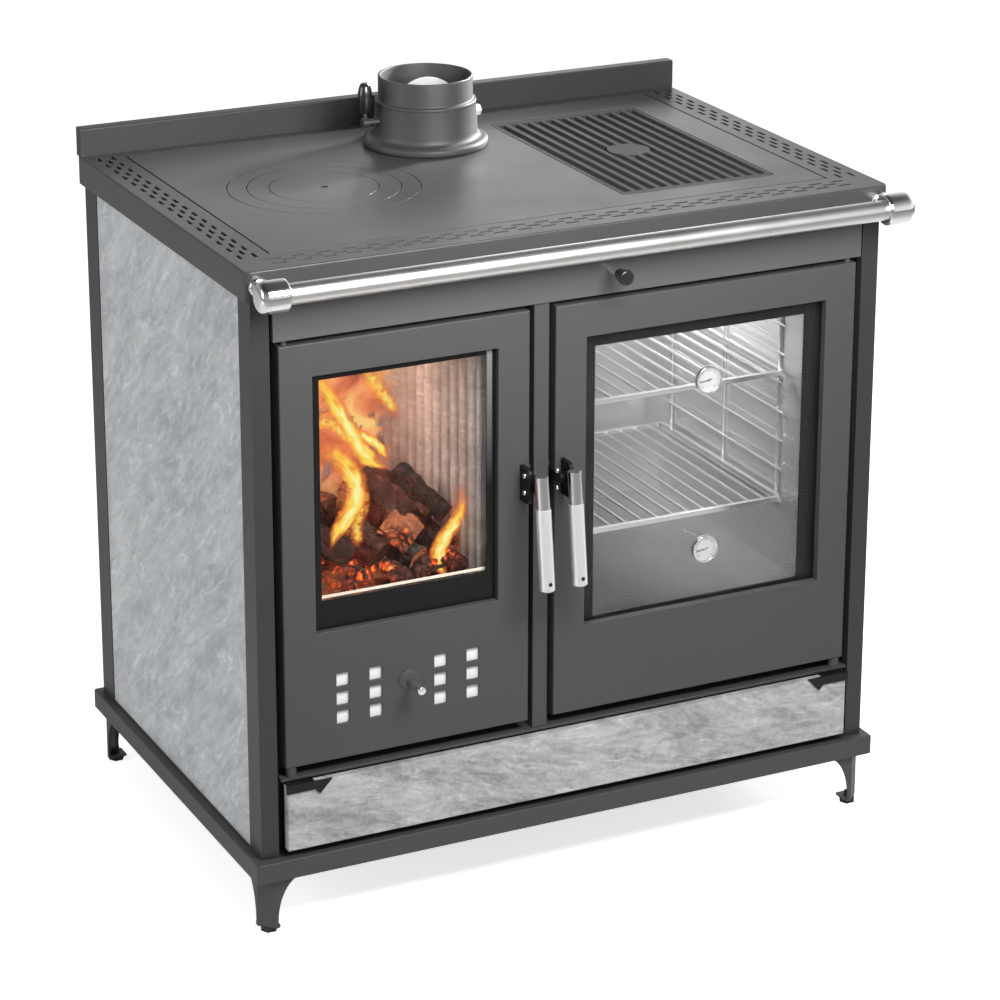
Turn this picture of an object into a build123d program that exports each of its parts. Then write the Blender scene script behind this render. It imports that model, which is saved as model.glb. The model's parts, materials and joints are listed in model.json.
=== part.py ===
"""Free-standing wood cookstove: steel carcass, stone cladding, fire door and oven door with glass,
cast cooking plate with rings and griddle, flue collar with damper, bottom drawer and towel rail.

Millimetres. X runs to the right, Y to the back, Z up. The origin is on the floor, midway
between the ends of the rail and midway between the rail's front and the back of the plinth.
"""
from build123d import *
import os

os.makedirs("parts", exist_ok=True)

# ---------------------------------------------------------------- driving dimensions
worktop_height = 860.0
hob_width = 876.0
hob_depth = 583.0
hob_edge = 37.0              # height of the folded edge
hob_corner = 8.0
sheet = 3.0                  # casing steel
thin_sheet = 2.0             # inner panels, drawer, ash pan
contact_gap = 0.3            # left between faces of pieces that move past each other
running_gap = 0.05           # radial clearance of pins and rods

side_border = 54.0           # hob edge to cooking plate, left and right
front_border = 59.0
back_border = 32.0
plate_gap = 2.5              # air gap round the cooking plate
plate_thickness = 10.0
ledge_width = 14.0           # ledge that carries the cooking plate
slot_length = 18.0           # perforations of the border
slot_width = 4.5
slot_pitch = 32.2
slot_row_pitch = 9.5
side_slot_count = 16
front_slot_count = 25

body_width = 861.0
front_reveal = 4.0           # hob's front edge to the door faces
back_reveal = 6.0            # hob's back edge to the carcass
plinth_top = 100.0
plinth_height = 25.5
plinth_overhang = 11.0       # beyond the door faces, the sides and the back
plinth_corner = 4.0
edge_round = 2.0             # top edges of the plinth, the hob and the backsplash
foot_height = 6.0
foot_radius = 11.0
foot_stud_radius = 4.0
leg_inset = 8.0              # leg's faces behind the plinth's
leg_width = 58.0
leg_neck = 21.5
leg_toe = 23.0
leg_neck_height = 15.0
leg_chamfer = 17.0

pillar_face = 23.3
pillar_recess = 3.0          # behind the door faces
front_pillar_depth = 38.0
rear_pillar_depth = 42.0
pillar_return = 14.0
stone_thickness = 12.0
stone_recess = 1.0
door_side_gap = 10.5         # pillar to door
door_depth = 28.0
seal_gap = 5.0               # back of a door to the front plate
front_plate_thickness = 4.0

door_bottom = 218.0
door_top = 761.5
fascia_bottom = 768.5
fascia_gap = 4.0             # pillar to fascia
stile_centre = -48.3
stile_width = 20.0
stile_gap = 7.9
stile_recess = 3.4
lower_rail_top = 204.5
lower_rail_thickness = 3.5
lower_rail_recess = 1.0

door_sheet = 3.2
door_wall = 4.0
door_corner = 3.0
hinge_inset = 9.0            # door's hinged edge to the hinge axis
hinge_depth = 8.0            # door's face to the hinge axis
pin_radius = 4.0
pin_collar_radius = 7.0
pin_in_door = 24.0

fire_window_left = 42.3      # fire door's edge to the window, on each side
fire_window_right = 42.3
fire_window_bottom = 389.5
fire_window_top = 719.5
glass_setback = 10.7         # fire door's face to its glass
glass_thickness = 5.0
glass_lap = 10.0             # glass behind its frame, each side
window_band = 18.0           # folded frame round each window
fire_border_side = 12.0      # black border in front of the fire glass
fire_border_top = 9.0
fire_border_bottom = 38.0
border_thickness = 2.0
rim_width = 20.0             # flange that carries the rope seal
vent_side = 17.5
vent_pitch_z = 25.0
vent_inner_column = 43.9     # columns' distances from the middle of the vents
vent_outer_column = 88.2
vent_rows = 3
vent_middle_z = 298.0
vent_middle_x = -231.5
air_knob_z = 306.0
air_plate_margin = 7.0
air_rod_radius = 5.5
air_knob_left = 26.0         # of the knob, still in front of the door when it is pushed in
air_plate_gap = 1.0
air_travel = 14.0
air_outlet_width = 30.0
air_outlet_height = 6.0
air_outlet_count = 5

oven_window_left = 42.3
oven_window_right = 42.3
oven_window_bottom = 334.0
oven_window_top = 717.0
inner_window_side = 21.0     # oven window's edge to the inner frame's opening
inner_window_top = 20.0
inner_window_bottom = 2.5
inner_frame_depth = 18.0     # oven door's face to the inner frame
inner_frame_thickness = 3.0
inner_glass_thickness = 4.0
dial_radius = 18.5
dial_thickness = 8.0
dial_offset = 114.0          # each dial above or below the window's middle
dial_drop = 6.0
dial_aside = 5.0             # dials to the right of the window's middle

latch_inset = 4.6            # door's free edge to the handle's plane
latch_pivot_z = 545.0
latch_pivot_reach = 16.0     # pivot in front of the door's face
latch_pin_radius = 3.0
latch_hub_radius = 7.0
cheek_thickness = 5.0
cheek_height = 46.0
cheek_reach = 25.0
cheek_drop = 3.5             # cheek's middle below the pivot
cheek_round = 8.0
blade_thickness = 6.0
blade_height = 28.0          # where the blade meets the rod
handle_top_z = 562.5
handle_top_reach = 43.0      # handle's axis in front of the door's face, at the top
handle_length = 146.0
handle_lean = 7.0            # degrees
grip_rod_radius = 8.8
grip_core_radius = 5.0
grip_collar_length = 42.0
sleeve_radius = 9.8
sleeve_hole_radius = 2.5
sleeve_hole_from_end = 10.0
tongue_thickness = 3.0
tongue_side_gap = 0.8        # tongue to the door's edge
tongue_reach = 20.0          # behind the door's face
tongue_height = 12.0
keeper_radius = 2.5
keeper_lap = 1.8             # keeper over the tongue

fire_opening_left = -370.0
fire_opening_right = -95.0
fire_opening_bottom = 240.0
fire_opening_top = 735.0
firebox_depth = 420.0
firebox_wall = 4.0
lining_thickness = 25.0
lining_step = 8.0
flute_radius = 6.0
flute_pitch = 17.0
grate_top = 400.0
grate_thickness = 14.0
grate_slot_width = 9.0
grate_slot_count = 9
ash_pan_height = 52.0
ash_pan_inset = 14.0

oven_left = -8.0
oven_right = 372.0
oven_bottom = 305.0
oven_top = 732.0
oven_depth = 430.0
oven_wall = 1.5
rack_front = 78.0            # oven's mouth to the front of the racks
rack_back_gap = 20.5         # back of the racks to the oven's back
runner_post_inset = 20.0     # posts of the rack runners behind the racks' front and back
rack_levels = (408.0, 584.0)
rack_wire_radius = 2.0
rack_frame_radius = 3.0
rack_wire_pitch = 23.0
runner_top = 700.0

rail_radius = 13.0
rail_wall = 2.0
rail_standoff = 43.5         # hob's front edge to the rail's axis
rail_overhang = 4.0          # rail's end beyond the hob's
cap_radius = 20.0
cap_length = 38.0
cap_end = 12.0               # solid end of the cap, beyond the tube
cap_round = 7.0
rail_post_radius = 8.0
rail_flange_radius = 12.0
rail_flange_thickness = 4.0

backsplash_height = 38.0
backsplash_depth = 17.0

ring_side_gap = 53.2         # plate's left end to the outer ring
ring_from_middle = 9.5       # behind the hob's middle
disc_radius = 69.0
inner_ring_radius = 97.0
outer_ring_radius = 122.0
ring_gap = 1.3
ring_step = 5.0              # width of the seat of each ring
ring_step_height = 5.0
lift_hole_radius = 5.0

griddle_width = 220.0
griddle_side_gap = 51.0      # plate's right end to the griddle
griddle_front_gap = 42.5     # plate's front edge to the griddle
griddle_back_gap = 62.5
griddle_seat = 8.0
griddle_seat_height = 4.0
groove_count = 12
groove_pitch = 17.7
groove_radius = 5.6
groove_margin = 13.0
boss_radius = 28.0

flue_x = -3.7
flue_from_middle = 146.7
flue_bore_radius = 59.0
spigot_radius = 62.4
spigot_height = 31.5
flue_height = 94.0
bead_radius = 67.0
bead_height = 4.0
collar_top_radius = 66.0
collar_bottom_radius = 69.5
flange_radius = 82.4
flange_height = 12.0
flange_neck_radius = 71.5
flange_round = 3.0
spindle_height = 37.5        # damper's spindle above the hob
spindle_radius = 4.0
damper_radius = 52.0
damper_thickness = 2.0
damper_lever_x = 82.3        # lever's distance from the flue's axis
damper_lever_radius = 2.6
damper_lever_height = 51.5
damper_hub_length = 9.0
damper_grip_cap = 2.0        # grip above the end of its lever
damper_grip_radius = 9.8
damper_grip_length = 40.0
nut_size = 7.5
nut_length = 9.0

bypass_x = 42.6
bypass_z = 800.5
bypass_rod_radius = 4.0
bypass_reach = 46.0
bypass_knob_radius = 10.0
bypass_knob_length = 22.0
bypass_knob_neck_radius = 7.0
bypass_knob_chamfer = 2.0
bypass_opening_width = 110.0
bypass_opening_depth = 120.0
bypass_front_from_middle = -130.0
shelf_z = 752.0

drawer_stone_bottom = 110.0
drawer_stone_top = 197.5
drawer_stone_thickness = 12.0
drawer_side_gap = 8.5        # pillar to drawer front
drawer_box_inset = 10.0      # drawer front's end to the box
drawer_box_top = 192.0
drawer_length = 470.0
clip_width = 36.0            # drawer's end to the tab
clip_drop = 9.0
clip_tab_width = 6.0
clip_tab_slant = 17.0
clip_tab_drop = 16.0
clip_sheet = 2.5
drawer_runner_width = 16.0
drawer_runner_height = 4.0
drawer_forward = 8.0         # drawer front ahead of the door faces

# ---------------------------------------------------------------- places worked out from them
rail_reach = rail_standoff + cap_radius
plinth_lap = plinth_overhang - back_reveal
hob_front = -(hob_depth + plinth_lap - rail_reach) / 2
hob_back = hob_front + hob_depth
hob_middle_y = (hob_front + hob_back) / 2
plate_half = hob_width / 2 - side_border
plate_front = hob_front + front_border
plate_back = hob_back - back_border
ring_x = -plate_half + ring_side_gap + outer_ring_radius
ring_y = hob_middle_y + ring_from_middle
griddle_right = plate_half - griddle_side_gap
griddle_left = griddle_right - griddle_width
griddle_front = plate_front + griddle_front_gap
griddle_back = plate_back - griddle_back_gap
flue_y = hob_middle_y + flue_from_middle
bypass_opening_front = hob_middle_y + bypass_front_from_middle
hob_bottom = worktop_height - hob_edge
under_hob = worktop_height - sheet
half_body = body_width / 2
front = hob_front + front_reveal
back = hob_back - back_reveal
plinth_bottom = plinth_top - plinth_height
plinth_front = front - plinth_overhang
plinth_width = body_width + 2 * plinth_overhang
plinth_back = back + plinth_overhang
plinth_middle_y = (plinth_front + plinth_back) / 2
plinth_depth = plinth_back - plinth_front
pillar_front = front + pillar_recess
stone_front = pillar_front + front_pillar_depth
stile_front = front + stile_recess
panel_outer = half_body - stone_recess - stone_thickness
panel_inner = panel_outer - thin_sheet
front_plate_front = front + door_depth + seal_gap
front_plate_back = front_plate_front + front_plate_thickness
door_back = front + door_depth
pillar_inner = half_body - pillar_face
fire_door_left = -pillar_inner + door_side_gap
fire_door_right = stile_centre - stile_width / 2 - stile_gap
oven_door_left = stile_centre + stile_width / 2 + stile_gap
oven_door_right = pillar_inner - door_side_gap
fire_hinge_x = fire_door_left + hinge_inset
oven_hinge_x = oven_door_right - hinge_inset
air_knob_reach = air_travel + air_knob_left
hinge_y = front + hinge_depth
lower_rail_bottom = lower_rail_top - lower_rail_thickness
rail_y = hob_front - rail_standoff
rail_z = worktop_height - hob_edge / 2
rail_half_length = hob_width / 2 + rail_overhang
plate_bottom = worktop_height - plate_thickness
fascia_half = pillar_inner - fascia_gap
keeper_reach = stile_gap - tongue_side_gap - tongue_thickness + keeper_lap
drawer_half = pillar_inner - drawer_side_gap
drawer_box_half = drawer_half - drawer_box_inset


def rect(low_u, high_u, low_v, high_v, mode=Mode.ADD):
    """A rectangle given by its edges, in the sketch that is open."""
    with Locations(((low_u + high_u) / 2, (low_v + high_v) / 2)):
        Rectangle(high_u - low_u, high_v - low_v, mode=mode)


def facing(y):
    """Plane seen from the front at depth y: sketch X is X, sketch Y is Z. A negative extrude goes back."""
    return Plane.XZ.offset(-y)


def sideways(x):
    """Plane seen from the right at x: sketch X is Y, sketch Y is Z. A positive extrude goes right."""
    return Plane.YZ.offset(x)


# ---------------------------------------------------------------- base
with BuildPart() as plinth:
    with BuildSketch(Plane.XY.offset(plinth_bottom)):
        with Locations((0, plinth_middle_y)):
            RectangleRounded(plinth_width, plinth_depth, plinth_corner)
    extrude(amount=plinth_height)
    fillet(plinth.faces().sort_by(Axis.Z)[-1].edges(), edge_round)
    with BuildSketch(Plane.XY.offset(plinth_bottom)):
        with Locations((0, plinth_middle_y)):
            RectangleRounded(plinth_width - 2 * sheet, plinth_depth - 2 * sheet, plinth_corner - sheet)
    extrude(amount=plinth_height - sheet, mode=Mode.SUBTRACT)
    with BuildSketch(Plane.XY.offset(plinth_top)):
        for side in (-1, 1):
            with Locations((side * (drawer_box_half - drawer_runner_width), front + drawer_length / 2)):
                Rectangle(drawer_runner_width, drawer_length - 2 * (front_plate_back - front))
    extrude(amount=drawer_runner_height)

leg_x = -plinth_width / 2 + leg_inset
leg_y = plinth_front + leg_inset
foot_inset = (leg_chamfer + sheet) / 2 + foot_stud_radius
with BuildPart() as legs:
    with BuildSketch(Plane.XY.offset(foot_height)):
        with BuildLine():
            Polyline(
                (leg_x, leg_y + leg_width),
                (leg_x, leg_y + leg_chamfer),
                (leg_x + leg_chamfer, leg_y),
                (leg_x + leg_width, leg_y),
                (leg_x + leg_width, leg_y + sheet),
                (leg_x + leg_chamfer + sheet / 2, leg_y + sheet),
                (leg_x + sheet, leg_y + leg_chamfer + sheet / 2),
                (leg_x + sheet, leg_y + leg_width),
                close=True,
            )
        make_face()
    extrude(amount=plinth_top - sheet - foot_height)
    for plane, edge in ((facing(leg_y), leg_x), (sideways(leg_x), leg_y)):
        with BuildSketch(plane):
            with BuildLine():
                Polyline(
                    (edge + leg_width, plinth_bottom),
                    (edge + leg_width, plinth_top),
                    (edge, plinth_top),
                    (edge, foot_height),
                    (edge + leg_toe, foot_height),
                    (edge + leg_neck, leg_neck_height),
                )
                EllipticalCenterArc(
                    (edge + leg_width, leg_neck_height),
                    leg_width - leg_neck,
                    plinth_bottom - leg_neck_height,
                    start_angle=90,
                    arc_size=90,
                )
            make_face()
        extrude(amount=leg_width, both=True, mode=Mode.INTERSECT)
    with BuildSketch(Plane.XY.offset(foot_height)):
        with BuildLine():
            Polyline(
                (leg_x + sheet, leg_y + leg_chamfer + sheet / 2),
                (leg_x + leg_chamfer + sheet / 2, leg_y + sheet),
                (leg_x + foot_inset + foot_radius, leg_y + sheet),
                (leg_x + foot_inset + foot_radius, leg_y + foot_inset + foot_radius),
                (leg_x + sheet, leg_y + foot_inset + foot_radius),
                close=True,
            )
        make_face()
        with Locations((leg_x + foot_inset, leg_y + foot_inset)):
            RegularPolygon(foot_stud_radius + running_gap, 8, mode=Mode.SUBTRACT)
    extrude(amount=sheet)
    mirror(about=Plane.YZ)
    mirror(about=Plane.XZ.offset(-plinth_middle_y))

with BuildPart() as levelling_feet:
    with BuildSketch():
        with Locations((leg_x + foot_inset, leg_y + foot_inset)):
            RegularPolygon(foot_radius, 6)
    extrude(amount=foot_height)
    with BuildSketch(Plane.XY.offset(foot_height)):
        with Locations((leg_x + foot_inset, leg_y + foot_inset)):
            RegularPolygon(foot_stud_radius, 8)
    extrude(amount=3 * sheet)
    mirror(about=Plane.YZ)
    mirror(about=Plane.XZ.offset(-plinth_middle_y))

# ---------------------------------------------------------------- carcass
with BuildPart() as front_pillars:
    with BuildSketch(Plane.XY.offset(plinth_top)):
        rect(-half_body, -pillar_inner, pillar_front, pillar_front + sheet)
        rect(-half_body, -half_body + sheet, pillar_front, stone_front)
        rect(-pillar_inner - sheet, -pillar_inner, pillar_front, pillar_front + pillar_return)
        rect(-half_body, -panel_outer, stone_front - sheet, stone_front)
    extrude(amount=under_hob - plinth_top)
    mirror(about=Plane.YZ)

with BuildPart() as rear_pillars:
    with BuildSketch(Plane.XY.offset(plinth_top)):
        rect(-half_body, -pillar_inner, back - sheet, back)
        rect(-half_body, -half_body + sheet, back - rear_pillar_depth, back)
        rect(-half_body, -panel_outer, back - rear_pillar_depth, back - rear_pillar_depth + sheet)
    extrude(amount=under_hob - plinth_top)
    mirror(about=Plane.YZ)

with BuildPart() as side_panels:
    with BuildSketch(Plane.XY.offset(plinth_top)):
        rect(-panel_outer, -panel_inner, pillar_front + pillar_return + sheet, back - sheet - thin_sheet)
    extrude(amount=under_hob - plinth_top)
    with BuildSketch(Plane.XY.offset(plinth_top)):
        rect(
            -half_body + stone_recess,
            -panel_outer,
            stone_front,
            back - rear_pillar_depth,
        )
    extrude(amount=sheet)
    mirror(about=Plane.YZ)

with BuildPart() as side_stones:
    with BuildSketch(Plane.XY.offset(plinth_top + sheet)):
        rect(
            -half_body + stone_recess,
            -panel_outer,
            stone_front + contact_gap,
            back - rear_pillar_depth - contact_gap,
        )
    extrude(amount=under_hob - plinth_top - 2 * sheet)
    mirror(about=Plane.YZ)

with BuildPart() as back_panel:
    with BuildSketch(Plane.XY.offset(plinth_top)):
        rect(-panel_outer, panel_outer, back - sheet - thin_sheet, back - sheet)
    extrude(amount=under_hob - plinth_top)

drawer_mouth_top = lower_rail_bottom - contact_gap
with BuildPart() as front_plate:
    with BuildSketch(facing(front_plate_front)):
        rect(-panel_inner, panel_inner, plinth_top, under_hob)
        rect(fire_opening_left, fire_opening_right, fire_opening_bottom, fire_opening_top, Mode.SUBTRACT)
        rect(oven_left, oven_right, oven_bottom, oven_top, Mode.SUBTRACT)
        rect(-drawer_box_half - 2, drawer_box_half + 2, plinth_top, drawer_mouth_top, Mode.SUBTRACT)
        with Locations((bypass_x, bypass_z)):
            Circle(bypass_rod_radius + contact_gap, mode=Mode.SUBTRACT)
    extrude(amount=-front_plate_thickness)

keeper_y = front + tongue_reach - 2 * keeper_radius
keeper_z = latch_pivot_z + tongue_height / 2 + keeper_radius + 2 * contact_gap
with BuildPart() as centre_stile:
    with BuildSketch(Plane.XY.offset(lower_rail_top)):
        rect(stile_centre - stile_width / 2, stile_centre + stile_width / 2, stile_front, front_plate_front)
        rect(
            stile_centre - stile_width / 2 + sheet,
            stile_centre + stile_width / 2 - sheet,
            stile_front + sheet,
            front_plate_front,
            Mode.SUBTRACT,
        )
    extrude(amount=fascia_bottom - lower_rail_top)
    with BuildSketch(sideways(stile_centre)):
        with Locations((keeper_y, keeper_z)):
            Circle(keeper_radius + running_gap)
    extrude(amount=stile_width / 2, both=True, mode=Mode.SUBTRACT)
    with BuildSketch(sideways(stile_centre)):
        with Locations((keeper_y, keeper_z)):
            Circle(keeper_radius)
    extrude(amount=stile_width / 2 + keeper_reach, both=True)

with BuildPart() as lower_rail:
    with BuildSketch(Plane.XY.offset(lower_rail_bottom)):
        rect(-fascia_half, fascia_half, front + lower_rail_recess, front_plate_front)
        with Locations((fire_hinge_x, hinge_y), (oven_hinge_x, hinge_y)):
            Circle(pin_radius + running_gap, mode=Mode.SUBTRACT)
    extrude(amount=lower_rail_thickness)

with BuildPart() as fascia:
    with BuildSketch(facing(front)):
        rect(-fascia_half, fascia_half, fascia_bottom, under_hob)
    extrude(amount=-(door_depth + seal_gap))
    with BuildSketch(facing(front + sheet)):
        rect(-fascia_half + sheet, fascia_half - sheet, fascia_bottom + sheet, under_hob)
    extrude(amount=-(door_depth + seal_gap), mode=Mode.SUBTRACT)
    with BuildSketch(facing(front)):
        with Locations((bypass_x, bypass_z)):
            Circle(bypass_rod_radius + running_gap)
    extrude(amount=-sheet, mode=Mode.SUBTRACT)
    with BuildSketch(Plane.XY.offset(fascia_bottom)):
        with Locations((fire_hinge_x, hinge_y), (oven_hinge_x, hinge_y)):
            Circle(pin_radius + running_gap)
    extrude(amount=sheet, mode=Mode.SUBTRACT)

# ---------------------------------------------------------------- hob
side_slot_x = hob_width / 2 - side_border / 2
side_slot_y = (plate_front + plate_back) / 2
front_slot_y = plate_front - front_border / 2 + slot_width / 2
with BuildPart() as hob_border:
    with BuildSketch(Plane.XY.offset(hob_bottom)):
        with Locations((0, (hob_front + hob_back) / 2)):
            RectangleRounded(hob_width, hob_depth, hob_corner)
    extrude(amount=hob_edge)
    fillet(hob_border.faces().sort_by(Axis.Z)[-1].edges(), edge_round)
    with BuildSketch(Plane.XY.offset(hob_bottom)):
        with Locations((0, (hob_front + hob_back) / 2)):
            RectangleRounded(hob_width - 2 * sheet, hob_depth - 2 * sheet, hob_corner - sheet)
    extrude(amount=hob_edge - sheet, mode=Mode.SUBTRACT)
    with BuildSketch(Plane.XY.offset(plate_bottom - sheet)):
        rect(-plate_half - sheet, plate_half + sheet, plate_front - sheet, plate_back + sheet)
    extrude(amount=plate_thickness)
    with BuildSketch(Plane.XY.offset(plate_bottom)):
        rect(-plate_half, plate_half, plate_front, plate_back)
    extrude(amount=plate_thickness, mode=Mode.SUBTRACT)
    with BuildSketch(Plane.XY.offset(plate_bottom - sheet)):
        rect(
            -plate_half + ledge_width,
            plate_half - ledge_width,
            plate_front + ledge_width,
            plate_back - ledge_width,
        )
    extrude(amount=sheet, mode=Mode.SUBTRACT)
    with BuildSketch(Plane.XY.offset(under_hob)):
        for side in (-1, 1):
            for row, count in ((-1, side_slot_count), (0, side_slot_count - 1), (1, side_slot_count)):
                with Locations((side * side_slot_x + row * slot_row_pitch, side_slot_y)):
                    with GridLocations(1, slot_pitch, 1, count):
                        Rectangle(slot_width, slot_length)
        for row, count in ((-1, front_slot_count), (0, front_slot_count - 1), (1, front_slot_count)):
            with Locations((0, front_slot_y + row * slot_row_pitch)):
                with GridLocations(slot_pitch, 1, count, 1):
                    Rectangle(slot_length, slot_width)
    extrude(amount=sheet, mode=Mode.SUBTRACT)

with BuildPart() as backsplash:
    with BuildSketch(sideways(-hob_width / 2)):
        rect(hob_back - backsplash_depth, hob_back, worktop_height, worktop_height + backsplash_height)
    extrude(amount=hob_width)
    fillet(backsplash.edges().filter_by(Axis.X).group_by(Axis.Z)[-1].sort_by(Axis.Y)[0], edge_round)

griddle_x = (griddle_left + griddle_right) / 2
griddle_y = (griddle_front + griddle_back) / 2
griddle_length = griddle_back - griddle_front
with BuildPart() as cooking_plate:
    with BuildSketch(Plane.XY.offset(plate_bottom)):
        rect(-plate_half + plate_gap, plate_half - plate_gap, plate_front + plate_gap, plate_back - plate_gap)
        with Locations((ring_x, ring_y)):
            Circle(outer_ring_radius + ring_gap - ring_step, mode=Mode.SUBTRACT)
        with Locations((flue_x, flue_y)):
            Circle(flue_bore_radius, mode=Mode.SUBTRACT)
        with Locations((griddle_x, griddle_y)):
            Rectangle(
                griddle_width - 2 * griddle_seat,
                griddle_length - 2 * griddle_seat,
                mode=Mode.SUBTRACT,
            )
    extrude(amount=plate_thickness)
    with BuildSketch(Plane.XY.offset(plate_bottom + ring_step_height)):
        with Locations((ring_x, ring_y)):
            Circle(outer_ring_radius + ring_gap)
    extrude(amount=plate_thickness, mode=Mode.SUBTRACT)
    with BuildSketch(Plane.XY.offset(plate_bottom + griddle_seat_height)):
        with Locations((griddle_x, griddle_y)):
            RectangleRounded(griddle_width, griddle_length, hob_corner)
    extrude(amount=plate_thickness, mode=Mode.SUBTRACT)


def ring_outline(outer, inner):
    """Half section of a ring that steps down to sit in the seat outside it and carries the one inside it."""
    low = plate_bottom
    step = plate_bottom + ring_step_height
    top = worktop_height
    Polyline(
        (inner + ring_gap - ring_step, low),
        (outer - ring_step, low),
        (outer - ring_step, step),
        (outer, step),
        (outer, top),
        (inner + ring_gap, top),
        (inner + ring_gap, step),
        (inner + ring_gap - ring_step, step),
        close=True,
    )


ring_axis = Axis((ring_x, ring_y, 0), (0, 0, 1))
ring_section = Plane(origin=(ring_x, ring_y, 0), x_dir=(1, 0, 0), z_dir=(0, -1, 0))
with BuildPart() as hotplate_outer_ring:
    with BuildSketch(ring_section):
        with BuildLine():
            ring_outline(outer_ring_radius, inner_ring_radius)
        make_face()
    revolve(axis=ring_axis)

with BuildPart() as hotplate_inner_ring:
    with BuildSketch(ring_section):
        with BuildLine():
            ring_outline(inner_ring_radius, disc_radius)
        make_face()
    revolve(axis=ring_axis)

with BuildPart() as hotplate_disc:
    with BuildSketch(Plane.XY.offset(plate_bottom)):
        with Locations((ring_x, ring_y)):
            Circle(disc_radius - ring_step)
    extrude(amount=plate_thickness)
    with BuildSketch(Plane.XY.offset(plate_bottom + ring_step_height)):
        with Locations((ring_x, ring_y)):
            Circle(disc_radius)
    extrude(amount=plate_thickness - ring_step_height)
    with BuildSketch(Plane.XY.offset(worktop_height)):
        with Locations((ring_x, ring_y)):
            Circle(lift_hole_radius)
    extrude(amount=-ring_step_height, mode=Mode.SUBTRACT)

with BuildPart() as griddle:
    with BuildSketch(Plane.XY.offset(plate_bottom + griddle_seat_height)):
        with Locations((griddle_x, griddle_y)):
            RectangleRounded(griddle_width - 2 * ring_gap, griddle_length - 2 * ring_gap, hob_corner - ring_gap)
    extrude(amount=plate_thickness - griddle_seat_height)
    with BuildSketch(Plane.XY.offset(plate_bottom)):
        with Locations((griddle_x, griddle_y)):
            Rectangle(
                griddle_width - 2 * (griddle_seat + ring_gap),
                griddle_length - 2 * (griddle_seat + ring_gap),
            )
    extrude(amount=griddle_seat_height)
    with BuildSketch(facing(griddle_front + groove_margin)):
        with Locations((griddle_x, worktop_height)):
            with GridLocations(groove_pitch, 1, groove_count, 1):
                RegularPolygon(groove_radius, 8)
    extrude(amount=-(griddle_length - 2 * groove_margin), mode=Mode.SUBTRACT)
    with BuildSketch(Plane.XY.offset(plate_bottom + griddle_seat_height)):
        with Locations((griddle_x, griddle_y)):
            Circle(boss_radius)
    extrude(amount=plate_thickness - griddle_seat_height)

# ---------------------------------------------------------------- flue
spindle_z = worktop_height + spindle_height
flue_top = worktop_height + flue_height
bead_top = flue_top - spigot_height
flange_top = worktop_height + flange_height
with BuildPart() as flue_collar:
    with BuildSketch(Plane.XZ.offset(-flue_y)):
        with BuildLine():
            Polyline(
                (flue_x + flange_radius - flange_round, worktop_height),
                (flue_x + flue_bore_radius, worktop_height),
                (flue_x + flue_bore_radius, flue_top),
                (flue_x + spigot_radius, flue_top),
                (flue_x + spigot_radius, bead_top),
                (flue_x + bead_radius, bead_top),
                (flue_x + bead_radius, bead_top - bead_height),
                (flue_x + collar_top_radius, bead_top - bead_height),
                (flue_x + collar_bottom_radius, flange_top - flange_round),
                (flue_x + flange_neck_radius, flange_top - flange_round),
                (flue_x + flange_neck_radius + flange_round, flange_top),
                (flue_x + flange_radius - flange_round, flange_top),
                (flue_x + flange_radius, flange_top - flange_round),
                (flue_x + flange_radius, worktop_height + flange_round),
                close=True,
            )
        make_face()
    revolve(axis=Axis((flue_x, flue_y, 0), (0, 0, 1)))
    with BuildSketch(sideways(flue_x)):
        with Locations((flue_y, spindle_z)):
            Circle(spindle_radius + running_gap)
    extrude(amount=flange_radius, both=True, mode=Mode.SUBTRACT)

lever_x = flue_x - damper_lever_x
with BuildPart() as flue_damper:
    with BuildSketch(facing(flue_y - damper_thickness / 2)):
        with Locations((flue_x, spindle_z)):
            Circle(damper_radius)
    extrude(amount=-damper_thickness)
    with BuildSketch(sideways(lever_x)):
        with Locations((flue_y, spindle_z)):
            Circle(spindle_radius)
    extrude(amount=damper_lever_x + collar_bottom_radius + nut_length + damper_thickness)
    with BuildSketch(sideways(flue_x + collar_bottom_radius + contact_gap)):
        with Locations((flue_y, spindle_z)):
            RegularPolygon(nut_size, 6)
    extrude(amount=nut_length)
    with BuildSketch(sideways(lever_x - damper_hub_length)):
        with Locations((flue_y, spindle_z)):
            Circle(spindle_radius + damper_thickness)
    extrude(amount=damper_hub_length)
    with BuildSketch(Plane.XY.offset(spindle_z)):
        with Locations((lever_x - damper_hub_length / 2, flue_y)):
            Circle(damper_lever_radius)
    extrude(amount=damper_lever_height)

grip_axis = lever_x - damper_hub_length / 2
grip_top = spindle_z + damper_lever_height + damper_grip_cap
grip_bottom = grip_top - damper_grip_length
with BuildPart() as damper_grip:
    with BuildSketch(Plane.XZ.offset(-flue_y)):
        with BuildLine():
            Polyline(
                (grip_axis + damper_lever_radius, grip_bottom),
                (grip_axis + damper_grip_radius / 2, grip_bottom),
                (grip_axis + damper_grip_radius, grip_bottom + damper_grip_radius),
                (grip_axis + damper_grip_radius, grip_top - damper_grip_radius),
                (grip_axis + damper_grip_radius / 2, grip_top),
                (grip_axis, grip_top),
                (grip_axis, grip_top - damper_grip_cap),
                (grip_axis + damper_lever_radius, grip_top - damper_grip_cap),
                close=True,
            )
        make_face()
    revolve(axis=Axis((grip_axis, flue_y, 0), (0, 0, 1)))

# ---------------------------------------------------------------- towel rail
with BuildPart() as rail_tube:
    with BuildSketch(sideways(-rail_half_length + cap_end)):
        with Locations((rail_y, rail_z)):
            Circle(rail_radius)
            Circle(rail_radius - rail_wall, mode=Mode.SUBTRACT)
    extrude(amount=2 * (rail_half_length - cap_end))

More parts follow.
